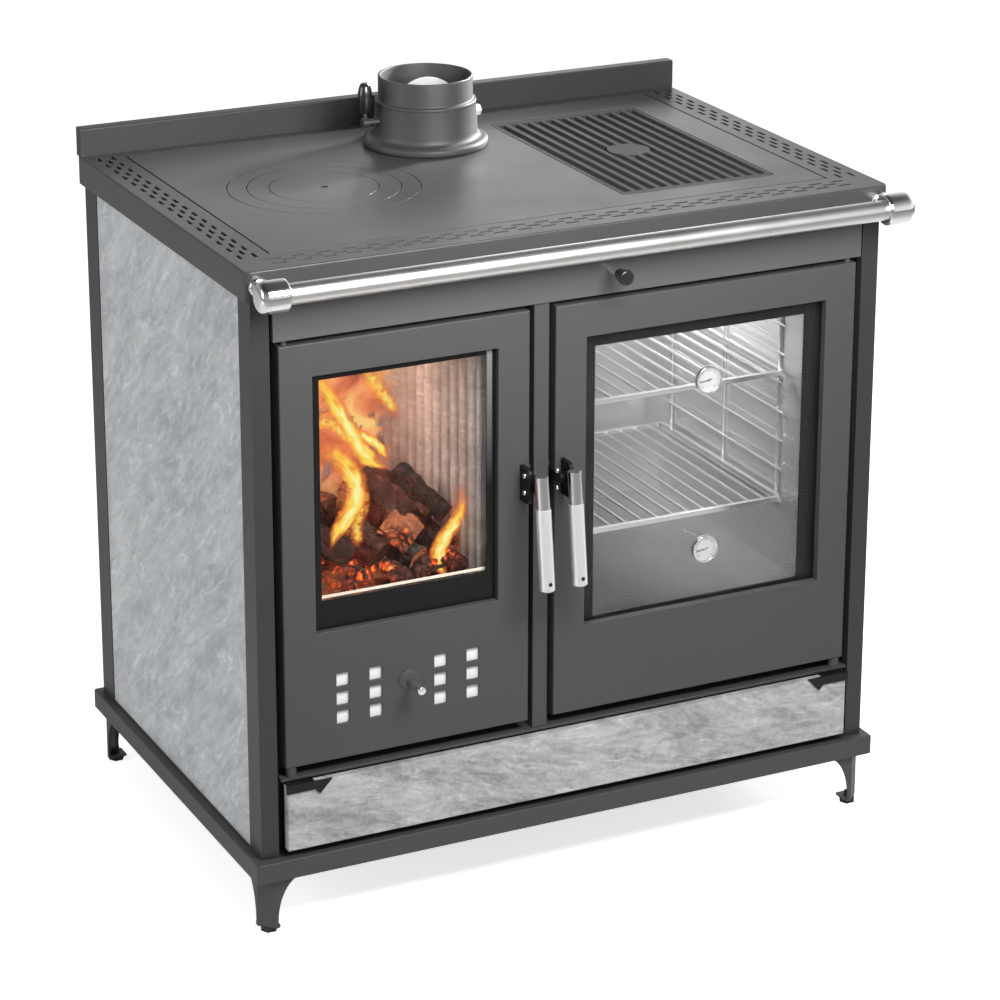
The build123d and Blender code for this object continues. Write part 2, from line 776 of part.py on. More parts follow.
post_x = rail_half_length - cap_length / 2
with BuildPart() as rail_brackets:
    with BuildSketch(Plane.XY.offset(rail_z)):
        with BuildLine():
            Polyline(
                (-rail_half_length, rail_y),
                (-rail_half_length, rail_y + cap_radius - cap_round),
                (-rail_half_length + cap_round / 3, rail_y + cap_radius - cap_round / 3),
                (-rail_half_length + cap_round, rail_y + cap_radius),
                (-rail_half_length + cap_length - cap_round / 3, rail_y + cap_radius),
                (-rail_half_length + cap_length, rail_y + cap_radius - cap_round / 3),
                (-rail_half_length + cap_length, rail_y),
                close=True,
            )
        make_face()
    revolve(axis=Axis((0, rail_y, rail_z), (1, 0, 0)))
    with BuildSketch(facing(hob_front)):
        with Locations((-post_x, rail_z)):
            Circle(rail_post_radius)
    extrude(amount=rail_standoff)
    with BuildSketch(facing(hob_front)):
        with Locations((-post_x, rail_z)):
            Circle(rail_flange_radius)
    extrude(amount=rail_flange_thickness)
    with BuildSketch(sideways(-rail_half_length + cap_end)):
        with Locations((rail_y, rail_z)):
            Circle(rail_radius + running_gap)
    extrude(amount=cap_length, mode=Mode.SUBTRACT)
    mirror(about=Plane.YZ)

# ---------------------------------------------------------------- firebox
box_left = fire_opening_left - firebox_wall
box_right = fire_opening_right + firebox_wall
box_bottom = fire_opening_bottom - firebox_wall
box_top = fire_opening_top + firebox_wall
firebox_back = front_plate_back + firebox_depth
with BuildPart() as firebox_shell:
    with BuildSketch(facing(front_plate_back)):
        rect(box_left, box_right, box_bottom, box_top)
    extrude(amount=-firebox_depth)
    with BuildSketch(facing(front_plate_back)):
        rect(fire_opening_left, fire_opening_right, fire_opening_bottom, fire_opening_top)
    extrude(amount=-(firebox_depth - firebox_wall), mode=Mode.SUBTRACT)
    with BuildSketch(Plane.XY.offset(fire_opening_top)):
        rect(
            fire_opening_left + 2 * lining_thickness,
            fire_opening_right - 2 * lining_thickness,
            firebox_back - 5 * lining_thickness,
            firebox_back - 2 * lining_thickness,
        )
    extrude(amount=firebox_wall, mode=Mode.SUBTRACT)

chamber_left = fire_opening_left + lining_thickness
chamber_right = fire_opening_right - lining_thickness
chamber_back = firebox_back - firebox_wall - lining_thickness
side_flutes = int((chamber_back - front_plate_back - 2 * flute_radius) / flute_pitch)
back_flutes = int((chamber_right - chamber_left - 2 * flute_radius) / flute_pitch)
grate_bottom = grate_top - grate_thickness
with BuildPart() as side_linings:
    with BuildSketch(Plane.XY.offset(grate_bottom)):
        rect(fire_opening_left, chamber_left, front_plate_back, chamber_back)
        with Locations((chamber_left + flute_radius / 3, (front_plate_back + chamber_back) / 2)):
            with GridLocations(1, flute_pitch, 1, side_flutes):
                RegularPolygon(flute_radius, 8, mode=Mode.SUBTRACT)
    extrude(amount=fire_opening_top - grate_bottom)
    with BuildSketch(Plane.XY.offset(fire_opening_bottom)):
        rect(fire_opening_left, chamber_left + lining_step, front_plate_back, chamber_back)
    extrude(amount=grate_bottom - fire_opening_bottom)
    mirror(about=Plane.YZ.offset((fire_opening_left + fire_opening_right) / 2))

with BuildPart() as back_lining:
    with BuildSketch(Plane.XY.offset(fire_opening_bottom)):
        rect(fire_opening_left, fire_opening_right, chamber_back, chamber_back + lining_thickness)
        with Locations(((chamber_left + chamber_right) / 2, chamber_back - flute_radius / 3)):
            with GridLocations(flute_pitch, 1, back_flutes, 1):
                RegularPolygon(flute_radius, 8, mode=Mode.SUBTRACT)
    extrude(amount=fire_opening_top - fire_opening_bottom)

with BuildPart() as grate:
    with BuildSketch(Plane.XY.offset(grate_bottom)):
        rect(
            chamber_left + contact_gap,
            chamber_right - contact_gap,
            front_plate_back + lining_thickness / 2,
            chamber_back - contact_gap,
        )
        with Locations(((chamber_left + chamber_right) / 2, (front_plate_back + chamber_back) / 2)):
            with GridLocations(
                (chamber_right - chamber_left) / (grate_slot_count + 1),
                (chamber_back - front_plate_back) / 2 - lining_thickness / 2,
                grate_slot_count,
                2,
            ):
                Rectangle(
                    grate_slot_width,
                    (chamber_back - front_plate_back) / 2 - 2 * lining_thickness,
                    mode=Mode.SUBTRACT,
                )
    extrude(amount=grate_thickness)

pan_left = chamber_left + ash_pan_inset
pan_right = chamber_right - ash_pan_inset
pan_front = front_plate_back + ash_pan_inset
pan_back = chamber_back - ash_pan_inset
with BuildPart() as ash_pan:
    with BuildSketch(Plane.XY.offset(fire_opening_bottom)):
        rect(pan_left, pan_right, pan_front, pan_back)
    extrude(amount=ash_pan_height, taper=-4)
    offset(amount=-thin_sheet, openings=ash_pan.faces().sort_by(Axis.Z)[-1])
    with BuildSketch(facing(pan_front + thin_sheet)):
        rect(
            (pan_left + pan_right) / 2 - 2 * ash_pan_inset,
            (pan_left + pan_right) / 2 + 2 * ash_pan_inset,
            fire_opening_bottom + ash_pan_height / 2,
            fire_opening_bottom + ash_pan_height / 2 + thin_sheet,
        )
    extrude(amount=ash_pan_inset)

# ---------------------------------------------------------------- oven
oven_back = front_plate_back + oven_depth
with BuildPart() as oven_liner:
    with BuildSketch(facing(front_plate_back)):
        rect(oven_left - oven_wall, oven_right + oven_wall, oven_bottom - oven_wall, oven_top + oven_wall)
    extrude(amount=-oven_depth)
    with BuildSketch(facing(front_plate_back)):
        rect(oven_left, oven_right, oven_bottom, oven_top)
    extrude(amount=-(oven_depth - oven_wall), mode=Mode.SUBTRACT)

rack_y0 = front_plate_back + rack_front
rack_y1 = oven_back - oven_wall - rack_back_gap
runner_x = oven_left + 2 * rack_frame_radius + rack_wire_radius
with BuildPart() as oven_runners:
    with BuildSketch(Plane.XY.offset(rack_levels[0] - 4 * rack_frame_radius)):
        with Locations(
            (oven_left + rack_frame_radius, rack_y0 + runner_post_inset),
            (oven_left + rack_frame_radius, rack_y1 - runner_post_inset),
        ):
            RegularPolygon(rack_frame_radius, 8)
    extrude(amount=runner_top - rack_levels[0] + 4 * rack_frame_radius)
    for level in rack_levels:
        with BuildSketch(facing(rack_y0)):
            with Locations((runner_x, level - rack_frame_radius - rack_wire_radius)):
                RegularPolygon(rack_wire_radius, 8)
        extrude(amount=-(rack_y1 - rack_y0))
        for post_y in (rack_y0 + runner_post_inset, rack_y1 - runner_post_inset):
            with BuildSketch(sideways(oven_left + rack_frame_radius)):
                with Locations((post_y, level - rack_frame_radius - rack_wire_radius)):
                    RegularPolygon(rack_wire_radius, 8)
            extrude(amount=runner_x - oven_left - rack_frame_radius)
    mirror(about=Plane.YZ.offset((oven_left + oven_right) / 2))

rack_half = (oven_right - oven_left) / 2 - 2 * rack_frame_radius - contact_gap
rack_middle = (oven_left + oven_right) / 2
rack_wires = int((2 * rack_half - 2 * rack_frame_radius) / rack_wire_pitch)
with BuildPart() as oven_racks:
    for level in rack_levels:
        with BuildSketch(Plane.XY.offset(level - rack_frame_radius)):
            with Locations((rack_middle, (rack_y0 + rack_y1) / 2)):
                RectangleRounded(2 * rack_half, rack_y1 - rack_y0, 3 * rack_frame_radius)
                RectangleRounded(
                    2 * rack_half - 4 * rack_frame_radius,
                    rack_y1 - rack_y0 - 4 * rack_frame_radius,
                    rack_frame_radius,
                    mode=Mode.SUBTRACT,
                )
        extrude(amount=2 * rack_frame_radius)
        with BuildSketch(facing(rack_y0 + rack_frame_radius)):
            with Locations((rack_middle, level)):
                with GridLocations(rack_wire_pitch, 1, rack_wires, 1):
                    RegularPolygon(rack_wire_radius, 6)
        extrude(amount=-(rack_y1 - rack_y0 - 2 * rack_frame_radius))

with BuildPart() as smoke_shelf:
    with BuildSketch(Plane.XY.offset(shelf_z)):
        rect(-panel_inner, panel_inner, front_plate_back, back - sheet - thin_sheet)
        rect(
            bypass_x - bypass_opening_width / 2,
            bypass_x + bypass_opening_width / 2,
            bypass_opening_front,
            bypass_opening_front + bypass_opening_depth,
            Mode.SUBTRACT,
        )
        rect(fire_opening_left, fire_opening_right, flue_y - 2 * lining_thickness, flue_y, Mode.SUBTRACT)
    extrude(amount=sheet)

# ---------------------------------------------------------------- bypass damper
slider_bottom = shelf_z + sheet + contact_gap
slider_front = bypass_opening_front - lining_thickness
with BuildPart() as bypass_slider:
    with BuildSketch(Plane.XY.offset(slider_bottom)):
        rect(
            bypass_x - bypass_opening_width / 2 - lining_step,
            bypass_x + bypass_opening_width / 2 + lining_step,
            slider_front,
            bypass_opening_front + bypass_opening_depth + lining_step,
        )
    extrude(amount=sheet)
    with BuildSketch(facing(slider_front)):
        rect(bypass_x - 2 * bypass_rod_radius, bypass_x + 2 * bypass_rod_radius, slider_bottom, bypass_z)
        with Locations((bypass_x, bypass_z)):
            Circle(2 * bypass_rod_radius)
    extrude(amount=-sheet)
    with BuildSketch(facing(slider_front)):
        with Locations((bypass_x, bypass_z)):
            Circle(bypass_rod_radius)
    extrude(amount=slider_front - front + bypass_reach - bypass_knob_length / 2)

knob_front = front - bypass_reach
with BuildPart() as bypass_knob:
    with BuildSketch(Plane.XY.offset(bypass_z)):
        with BuildLine():
            Polyline(
                (bypass_x, knob_front),
                (bypass_x + bypass_knob_radius - bypass_knob_chamfer, knob_front),
                (bypass_x + bypass_knob_radius, knob_front + bypass_knob_chamfer),
                (bypass_x + bypass_knob_neck_radius, knob_front + bypass_knob_length),
                (bypass_x + bypass_rod_radius, knob_front + bypass_knob_length),
                (bypass_x + bypass_rod_radius, knob_front + bypass_knob_length / 2),
                (bypass_x, knob_front + bypass_knob_length / 2),
                close=True,
            )
        make_face()
    revolve(axis=Axis((bypass_x, 0, bypass_z), (0, 1, 0)))

# ---------------------------------------------------------------- fire door
window_left = fire_door_left + fire_window_left
window_right = fire_door_right - fire_window_right
air_box_top = fire_window_bottom - window_band
with BuildPart() as fire_door_frame:
    with BuildSketch(facing(front)):
        rect(fire_door_left, fire_door_right, door_bottom, door_top)
    extrude(amount=-door_depth)
    fillet(fire_door_frame.faces().sort_by(Axis.Y)[0].edges(), door_corner / 2)
    with BuildSketch(facing(front + door_sheet)):
        rect(
            fire_door_left + door_wall,
            fire_door_right - door_wall,
            door_bottom + door_wall,
            door_top - door_wall,
        )
    extrude(amount=-(door_depth - door_sheet - sheet), mode=Mode.SUBTRACT)
    with BuildSketch(facing(door_back)):
        rect(
            fire_door_left + rim_width,
            fire_door_right - rim_width,
            air_box_top,
            door_top - rim_width,
        )
        with Locations((vent_middle_x, air_box_top - 2 * air_outlet_height)):
            with GridLocations(1.5 * air_outlet_width, 1, air_outlet_count, 1):
                Rectangle(air_outlet_width, air_outlet_height)
    extrude(amount=sheet, mode=Mode.SUBTRACT)
    with BuildSketch(facing(front + glass_setback)):
        rect(
            window_left - window_band,
            window_right + window_band,
            fire_window_bottom - window_band,
            fire_window_top + window_band,
        )
    extrude(amount=glass_setback - door_sheet / 2)
    with BuildSketch(facing(door_back - sheet)):
        rect(fire_door_left + sheet, fire_door_right - sheet, air_box_top - sheet, air_box_top)
        for z in (door_bottom + pin_in_door / 2, door_top - pin_in_door / 2):
            rect(
                fire_door_left + door_wall / 2,
                fire_hinge_x + pin_collar_radius,
                z - pin_in_door / 2 + door_wall / 2,
                z + pin_in_door / 2 - door_wall / 2,
            )
    extrude(amount=door_depth - sheet - door_sheet / 2)
    with BuildSketch(facing(front)):
        rect(window_left, window_right, fire_window_bottom, fire_window_top)
        for column in (-vent_outer_column, -vent_inner_column, vent_inner_column, vent_outer_column):
            with Locations((vent_middle_x + column, vent_middle_z)):
                with GridLocations(1, vent_pitch_z, 1, vent_rows):
                    Rectangle(vent_side, vent_side)
        with Locations((vent_middle_x, air_knob_z)):
            Circle(air_rod_radius + running_gap)
    extrude(amount=-glass_setback, mode=Mode.SUBTRACT)
    with BuildSketch(Plane.XY.offset(door_bottom)):
        with Locations((fire_hinge_x, hinge_y)):
            Circle(pin_radius)
    extrude(amount=door_top - door_bottom, mode=Mode.SUBTRACT)

with BuildPart() as fire_door_glass:
    with BuildSketch(facing(front + glass_setback)):
        rect(
            window_left - glass_lap,
            window_right + glass_lap,
            fire_window_bottom - glass_lap,
            fire_window_top + glass_lap,
        )
    extrude(amount=-glass_thickness)

with BuildPart() as fire_glass_border:
    with BuildSketch(facing(front + glass_setback)):
        rect(window_left, window_right, fire_window_bottom, fire_window_top)
        rect(
            window_left + fire_border_side,
            window_right - fire_border_side,
            fire_window_bottom + fire_border_bottom,
            fire_window_top - fire_border_top,
            Mode.SUBTRACT,
        )
    extrude(amount=border_thickness)

valve_plate_front = front + door_sheet + air_plate_gap
with BuildPart() as air_valve_plate:
    with BuildSketch(facing(valve_plate_front)):
        with Locations((vent_middle_x, vent_middle_z)):
            Rectangle(
                2 * (vent_outer_column + air_plate_margin) + vent_side,
                (vent_rows - 1) * vent_pitch_z + vent_side + 2 * air_plate_margin,
            )
    extrude(amount=-thin_sheet)

with BuildPart() as air_knob:
    with BuildSketch(facing(valve_plate_front)):
        with Locations((vent_middle_x, air_knob_z)):
            Circle(air_rod_radius)
    extrude(amount=valve_plate_front - front + air_knob_reach)
    chamfer(air_knob.faces().sort_by(Axis.Y)[0].edges(), air_rod_radius / 4)

# ---------------------------------------------------------------- oven door
oven_window_x0 = oven_door_left + oven_window_left
oven_window_x1 = oven_door_right - oven_window_right
with BuildPart() as oven_door_frame:
    with BuildSketch(facing(front)):
        rect(oven_door_left, oven_door_right, door_bottom, door_top)
    extrude(amount=-door_depth)
    fillet(oven_door_frame.faces().sort_by(Axis.Y)[0].edges(), door_corner / 2)
    with BuildSketch(facing(front + door_sheet)):
        rect(
            oven_door_left + door_wall,
            oven_door_right - door_wall,
            door_bottom + door_wall,
            door_top - door_wall,
        )
    extrude(amount=-(door_depth - door_sheet - sheet), mode=Mode.SUBTRACT)
    with BuildSketch(facing(door_back)):
        rect(
            oven_door_left + rim_width,
            oven_door_right - rim_width,
            door_bottom + rim_width,
            door_top - rim_width,
        )
    extrude(amount=sheet, mode=Mode.SUBTRACT)
    with BuildSketch(facing(front + glass_setback)):
        rect(
            oven_window_x0 - window_band,
            oven_window_x1 + window_band,
            oven_window_bottom - window_band,
            oven_window_top + window_band,
        )
    extrude(amount=glass_setback - door_sheet / 2)
    with BuildSketch(facing(front + inner_frame_depth)):
        for z in (door_bottom + pin_in_door / 2, door_top - pin_in_door / 2):
            rect(
                oven_hinge_x - pin_collar_radius,
                oven_door_right - door_wall / 2,
                z - pin_in_door / 2 + door_wall / 2,
                z + pin_in_door / 2 - door_wall / 2,
            )
    extrude(amount=inner_frame_depth - door_sheet / 2)
    with BuildSketch(facing(front)):
        rect(oven_window_x0, oven_window_x1, oven_window_bottom, oven_window_top)
    extrude(amount=-glass_setback, mode=Mode.SUBTRACT)
    with BuildSketch(Plane.XY.offset(door_bottom)):
        with Locations((oven_hinge_x, hinge_y)):
            Circle(pin_radius)
    extrude(amount=door_top - door_bottom, mode=Mode.SUBTRACT)

with BuildPart() as oven_door_glass:
    with BuildSketch(facing(front + glass_setback)):
        rect(
            oven_window_x0 - glass_lap,
            oven_window_x1 + glass_lap,
            oven_window_bottom - glass_lap,
            oven_window_top + glass_lap,
        )
    extrude(amount=-glass_thickness)

with BuildPart() as oven_inner_frame:
    with BuildSketch(facing(front + inner_frame_depth)):
        rect(
            oven_door_left + door_wall,
            oven_door_right - door_wall,
            door_bottom + door_wall,
            door_top - door_wall,
        )
        rect(
            oven_window_x0 + inner_window_side,
            oven_window_x1 - inner_window_side,
            oven_window_bottom + inner_window_bottom,
            oven_window_top - inner_window_top,
            Mode.SUBTRACT,
        )
    extrude(amount=-inner_frame_thickness)

with BuildPart() as oven_inner_glass:
    with BuildSketch(facing(front + inner_frame_depth + inner_frame_thickness)):
        rect(
            oven_window_x0 + inner_window_side - glass_lap,
            oven_window_x1 - inner_window_side + glass_lap,
            oven_window_bottom + inner_window_bottom - glass_lap,
            oven_window_top - inner_window_top + glass_lap,
        )
    extrude(amount=-inner_glass_thickness)

oven_window_x = (oven_window_x0 + oven_window_x1) / 2
oven_window_z = (oven_window_bottom + oven_window_top) / 2
with BuildPart() as oven_dials:
    with BuildSketch(facing(front + glass_setback)):
        with Locations((oven_window_x + dial_aside, oven_window_z - dial_drop)):
            with GridLocations(1, 2 * dial_offset, 1, 2):
                Circle(dial_radius)
    extrude(amount=dial_thickness)
    chamfer(oven_dials.faces().group_by(Axis.Y)[0].edges(), dial_thickness / 4)
    with BuildSketch(facing(front + glass_setback - dial_thickness)):
        with Locations((oven_window_x + dial_aside, oven_window_z - dial_drop)):
            with GridLocations(1, 2 * dial_offset, 1, 2):
                Circle(dial_radius - dial_thickness / 2)
    extrude(amount=-dial_thickness / 4, mode=Mode.SUBTRACT)

# ---------------------------------------------------------------- seals and hinge pins of both doors
seal_width = rim_width / 2
seals = {}
pins = {}
for door, door_left, door_right, hinge_x in (
    ("fire_door", fire_door_left, fire_door_right, fire_hinge_x),
    ("oven_door", oven_door_left, oven_door_right, oven_hinge_x),
):
    with BuildPart() as door_seal:
        with BuildSketch(facing(door_back)):
            with Locations(((door_left + door_right) / 2, (door_bottom + door_top) / 2)):
                RectangleRounded(
                    door_right - door_left - seal_width,
                    door_top - door_bottom - seal_width,
                    seal_width,
                )
                RectangleRounded(
                    door_right - door_left - 3 * seal_width,
                    door_top - door_bottom - 3 * seal_width,
                    seal_width / 2,
                    mode=Mode.SUBTRACT,
                )
        extrude(amount=-(seal_gap - contact_gap))
    seals[door] = door_seal
    with BuildPart() as door_pins:
        with BuildSketch(Plane.XY.offset(lower_rail_bottom + contact_gap)):
            with Locations((hinge_x, hinge_y)):
                Circle(pin_radius)
        extrude(amount=door_bottom - lower_rail_bottom + pin_in_door - contact_gap)
        with BuildSketch(Plane.XY.offset(lower_rail_top)):
            with Locations((hinge_x, hinge_y)):
                Circle(pin_collar_radius)
        extrude(amount=door_bottom - lower_rail_top)
        with BuildSketch(Plane.XY.offset(door_top - pin_in_door)):
            with Locations((hinge_x, hinge_y)):
                Circle(pin_radius)
        extrude(amount=fascia_bottom + sheet - door_top + pin_in_door)
    pins[door] = door_pins

# ---------------------------------------------------------------- latch and handle of the fire door
latch_x = fire_door_right - latch_inset
pivot_y = front - latch_pivot_reach
cheek_right = latch_x - blade_thickness / 2 - contact_gap
tongue_left = fire_door_right + tongue_side_gap
hub_right = tongue_left + tongue_thickness
handle_top = Vector(latch_x, front - handle_top_reach, handle_top_z)
handle_way = Vector(0, 0, -1).rotate(Axis.X, -handle_lean)
grip_plane = Plane(origin=handle_top, x_dir=(1, 0, 0), z_dir=handle_way)
sleeve_plane = grip_plane.offset(grip_collar_length)
hole_middle = handle_top + handle_way * (handle_length - sleeve_hole_from_end)
hole_plane = Plane(origin=hole_middle, x_dir=(1, 0, 0), z_dir=handle_way.rotate(Axis.X, 90))

with BuildPart() as fire_latch_bracket:
    with BuildSketch(sideways(cheek_right - cheek_thickness)) as cheek:
        rect(
            front - cheek_reach,
            front,
            latch_pivot_z - cheek_drop - cheek_height / 2,
            latch_pivot_z - cheek_drop + cheek_height / 2,
        )
        fillet(cheek.vertices().group_by(Axis.X)[0], cheek_round)
    extrude(amount=cheek_thickness)
    with BuildSketch(sideways(cheek_right)):
        with Locations((pivot_y, latch_pivot_z)):
            Circle(latch_pin_radius)
    extrude(amount=hub_right - cheek_right)

with BuildPart() as fire_handle_rod:
    with BuildSketch(grip_plane):
        Circle(grip_rod_radius)
    extrude(amount=grip_collar_length)
    chamfer(fire_handle_rod.faces().sort_by(Axis.Z)[-1].edges(), grip_rod_radius / 8)
    with BuildSketch(sleeve_plane):
        Circle(grip_core_radius)
    extrude(amount=handle_length - grip_collar_length - grip_core_radius)

with BuildPart() as fire_handle_sleeve:
    with BuildSketch(sleeve_plane):
        Circle(sleeve_radius)
    extrude(amount=handle_length - grip_collar_length)
    chamfer(fire_handle_sleeve.faces().sort_by(Axis.Z)[0].edges(), sleeve_radius / 6)
    with BuildSketch(sleeve_plane):
        Circle(grip_core_radius)
    extrude(amount=handle_length - grip_collar_length - grip_core_radius, mode=Mode.SUBTRACT)
    with BuildSketch(hole_plane):
        Circle(sleeve_hole_radius)
    extrude(amount=sleeve_radius, mode=Mode.SUBTRACT)

with BuildPart() as fire_lever:
    with BuildSketch(sideways(latch_x - blade_thickness / 2)):
        with BuildLine():
            Polyline(
                (pivot_y, latch_pivot_z + latch_hub_radius),
                (handle_top.Y, latch_pivot_z + blade_height / 2),
                (handle_top.Y, latch_pivot_z - blade_height / 2),
                (pivot_y, latch_pivot_z - latch_hub_radius),
                close=True,
            )
        make_face()
    extrude(amount=blade_thickness)
    with BuildSketch(sideways(latch_x - blade_thickness / 2)):
        with Locations((pivot_y, latch_pivot_z)):
            Circle(latch_hub_radius)
    extrude(amount=hub_right - latch_x + blade_thickness / 2)
    with BuildSketch(sideways(tongue_left)):
        rect(
            pivot_y,
            front + tongue_reach,
            latch_pivot_z - tongue_height / 2,
            latch_pivot_z + tongue_height / 2,
        )
    extrude(amount=tongue_thickness)
    with BuildSketch(sideways(latch_x - blade_thickness)):
        with Locations((pivot_y, latch_pivot_z)):
            Circle(latch_pin_radius + running_gap)
    extrude(amount=2 * hub_right - 2 * latch_x, mode=Mode.SUBTRACT)
    with BuildSketch(grip_plane):
        Circle(grip_rod_radius)
    extrude(amount=grip_collar_length, mode=Mode.SUBTRACT)

# ---------------------------------------------------------------- the same on the oven door
stile_middle = Plane.YZ.offset(stile_centre)
with BuildPart() as oven_latch_bracket:
    mirror(fire_latch_bracket.part, about=stile_middle)
with BuildPart() as oven_lever:
    mirror(fire_lever.part, about=stile_middle)
with BuildPart() as oven_handle_rod:
    mirror(fire_handle_rod.part, about=stile_middle)
with BuildPart() as oven_handle_sleeve:
    mirror(fire_handle_sleeve.part, about=stile_middle)

# ---------------------------------------------------------------- drawer
drawer_face = front - drawer_forward
drawer_box_front = drawer_face + drawer_stone_thickness
drawer_box_bottom = plinth_top + drawer_runner_height + contact_gap
with BuildPart() as drawer_front:
    with BuildSketch(facing(drawer_face)):
        rect(-drawer_half, drawer_half, drawer_stone_bottom, drawer_stone_top)
    extrude(amount=-drawer_stone_thickness)
    chamfer(drawer_front.faces().sort_by(Axis.Y)[0].edges(), drawer_stone_thickness / 12)

with BuildPart() as drawer_box:
    with BuildSketch(facing(drawer_box_front)):
        rect(-drawer_box_half, drawer_box_half, drawer_box_bottom, drawer_box_top)
    extrude(amount=-drawer_length)
    with BuildSketch(Plane.XY.offset(drawer_box_bottom + thin_sheet)):
        rect(
            -drawer_box_half + thin_sheet,
            drawer_box_half - thin_sheet,
            drawer_box_front + thin_sheet,
            drawer_box_front + drawer_length - thin_sheet,
        )
    extrude(amount=drawer_box_top - drawer_box_bottom, mode=Mode.SUBTRACT)

clip_bottom = drawer_stone_top - clip_drop
clip_tab_x = drawer_half - clip_width - clip_tab_width
with BuildPart() as drawer_clips:
    with BuildSketch(facing(drawer_face)):
        with BuildLine():
            Polyline(
                (drawer_half + thin_sheet, drawer_stone_top + thin_sheet),
                (drawer_half + thin_sheet, clip_bottom),
                (drawer_half - clip_width, clip_bottom),
                (clip_tab_x, drawer_stone_top - clip_tab_drop),
                (clip_tab_x - clip_tab_slant, drawer_stone_top + thin_sheet),
                close=True,
            )
        make_face()
    extrude(amount=clip_sheet)
    with BuildSketch(sideways(drawer_half - clip_width)):
        rect(drawer_face - clip_sheet, drawer_box_front, drawer_stone_top, drawer_stone_top + thin_sheet)
    extrude(amount=clip_width)
    mirror(about=Plane.YZ)

# ---------------------------------------------------------------- pieces
pieces = {
    "plinth": plinth,
    "legs": legs,
    "levelling_feet": levelling_feet,
    "front_pillars": front_pillars,
    "rear_pillars": rear_pillars,
    "side_panels": side_panels,
    "side_stones": side_stones,
    "back_panel": back_panel,
    "front_plate": front_plate,
    "centre_stile": centre_stile,
    "lower_rail": lower_rail,
    "fascia": fascia,
    "hob_border": hob_border,
    "backsplash": backsplash,
    "cooking_plate": cooking_plate,
    "hotplate_outer_ring": hotplate_outer_ring,
    "hotplate_inner_ring": hotplate_inner_ring,
    "hotplate_disc": hotplate_disc,
    "griddle": griddle,
    "flue_collar": flue_collar,
    "flue_damper": flue_damper,
    "damper_grip": damper_grip,
    "rail_tube": rail_tube,
    "rail_brackets": rail_brackets,
    "firebox_shell": firebox_shell,
    "side_linings": side_linings,
    "back_lining": back_lining,
    "grate": grate,
    "ash_pan": ash_pan,
    "oven_liner": oven_liner,
    "oven_runners": oven_runners,
    "oven_racks": oven_racks,
    "smoke_shelf": smoke_shelf,
    "bypass_slider": bypass_slider,
    "bypass_knob": bypass_knob,
    "fire_door_frame": fire_door_frame,
    "fire_door_glass": fire_door_glass,
    "fire_glass_border": fire_glass_border,
    "fire_door_seal": seals["fire_door"],
    "fire_door_pins": pins["fire_door"],
    "air_valve_plate": air_valve_plate,
    "air_knob": air_knob,
    "fire_latch_bracket": fire_latch_bracket,
    "fire_lever": fire_lever,
    "fire_handle_rod": fire_handle_rod,
    "fire_handle_sleeve": fire_handle_sleeve,
    "oven_door_frame": oven_door_frame,
    "oven_door_glass": oven_door_glass,
    "oven_inner_frame": oven_inner_frame,
    "oven_inner_glass": oven_inner_glass,
    "oven_door_seal": seals["oven_door"],
    "oven_door_pins": pins["oven_door"],
    "oven_dials": oven_dials,
    "oven_latch_bracket": oven_latch_bracket,
    "oven_lever": oven_lever,
    "oven_handle_rod": oven_handle_rod,
    "oven_handle_sleeve": oven_handle_sleeve,
    "drawer_box": drawer_box,
    "drawer_front": drawer_front,
    "drawer_clips": drawer_clips,
}
for name, piece in pieces.items():
    piece.part.label = name
    export_step(piece.part, f"parts/{name}.step")
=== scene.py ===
# %% [markdown]
# # A wood cookstove, dressed for the camera
# The stove's bodies, sizes and joints come from its CAD model, which is loaded here as a fixed frame. This
# script adds what the frame lacks: finishes for every sheet, casting and stone, rounder turned parts, the
# fire behind the glass, small screws, and a pale studio. Lengths are metres where nothing else is said.

# %% Load the frame
import math
import json

import bmesh
import bpy
from mathutils import Matrix, Vector, noise


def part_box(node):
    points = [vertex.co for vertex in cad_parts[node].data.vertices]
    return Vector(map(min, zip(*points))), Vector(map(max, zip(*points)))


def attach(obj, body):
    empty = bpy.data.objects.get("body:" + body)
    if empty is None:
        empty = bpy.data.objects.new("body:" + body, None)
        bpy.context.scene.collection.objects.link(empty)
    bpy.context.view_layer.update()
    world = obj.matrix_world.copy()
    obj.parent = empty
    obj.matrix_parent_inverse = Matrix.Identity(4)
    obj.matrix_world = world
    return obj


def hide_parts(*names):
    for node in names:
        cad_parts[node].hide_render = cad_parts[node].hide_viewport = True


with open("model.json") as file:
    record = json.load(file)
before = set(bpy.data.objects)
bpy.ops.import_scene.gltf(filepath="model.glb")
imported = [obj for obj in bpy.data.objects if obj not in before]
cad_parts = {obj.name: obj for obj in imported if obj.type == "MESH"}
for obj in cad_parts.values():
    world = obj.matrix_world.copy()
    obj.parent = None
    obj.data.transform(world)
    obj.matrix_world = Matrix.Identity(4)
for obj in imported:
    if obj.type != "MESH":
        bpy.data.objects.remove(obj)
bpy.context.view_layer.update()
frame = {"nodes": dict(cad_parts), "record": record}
nodes = frame["nodes"]

# %% [markdown]
# ## Camera
# The photograph was taken from the front left with a long lens, a little above the hob. A camera is easiest
# to set by an azimuth, an elevation and a distance from a target. The shift of its lens moves the picture
# without turning the camera.

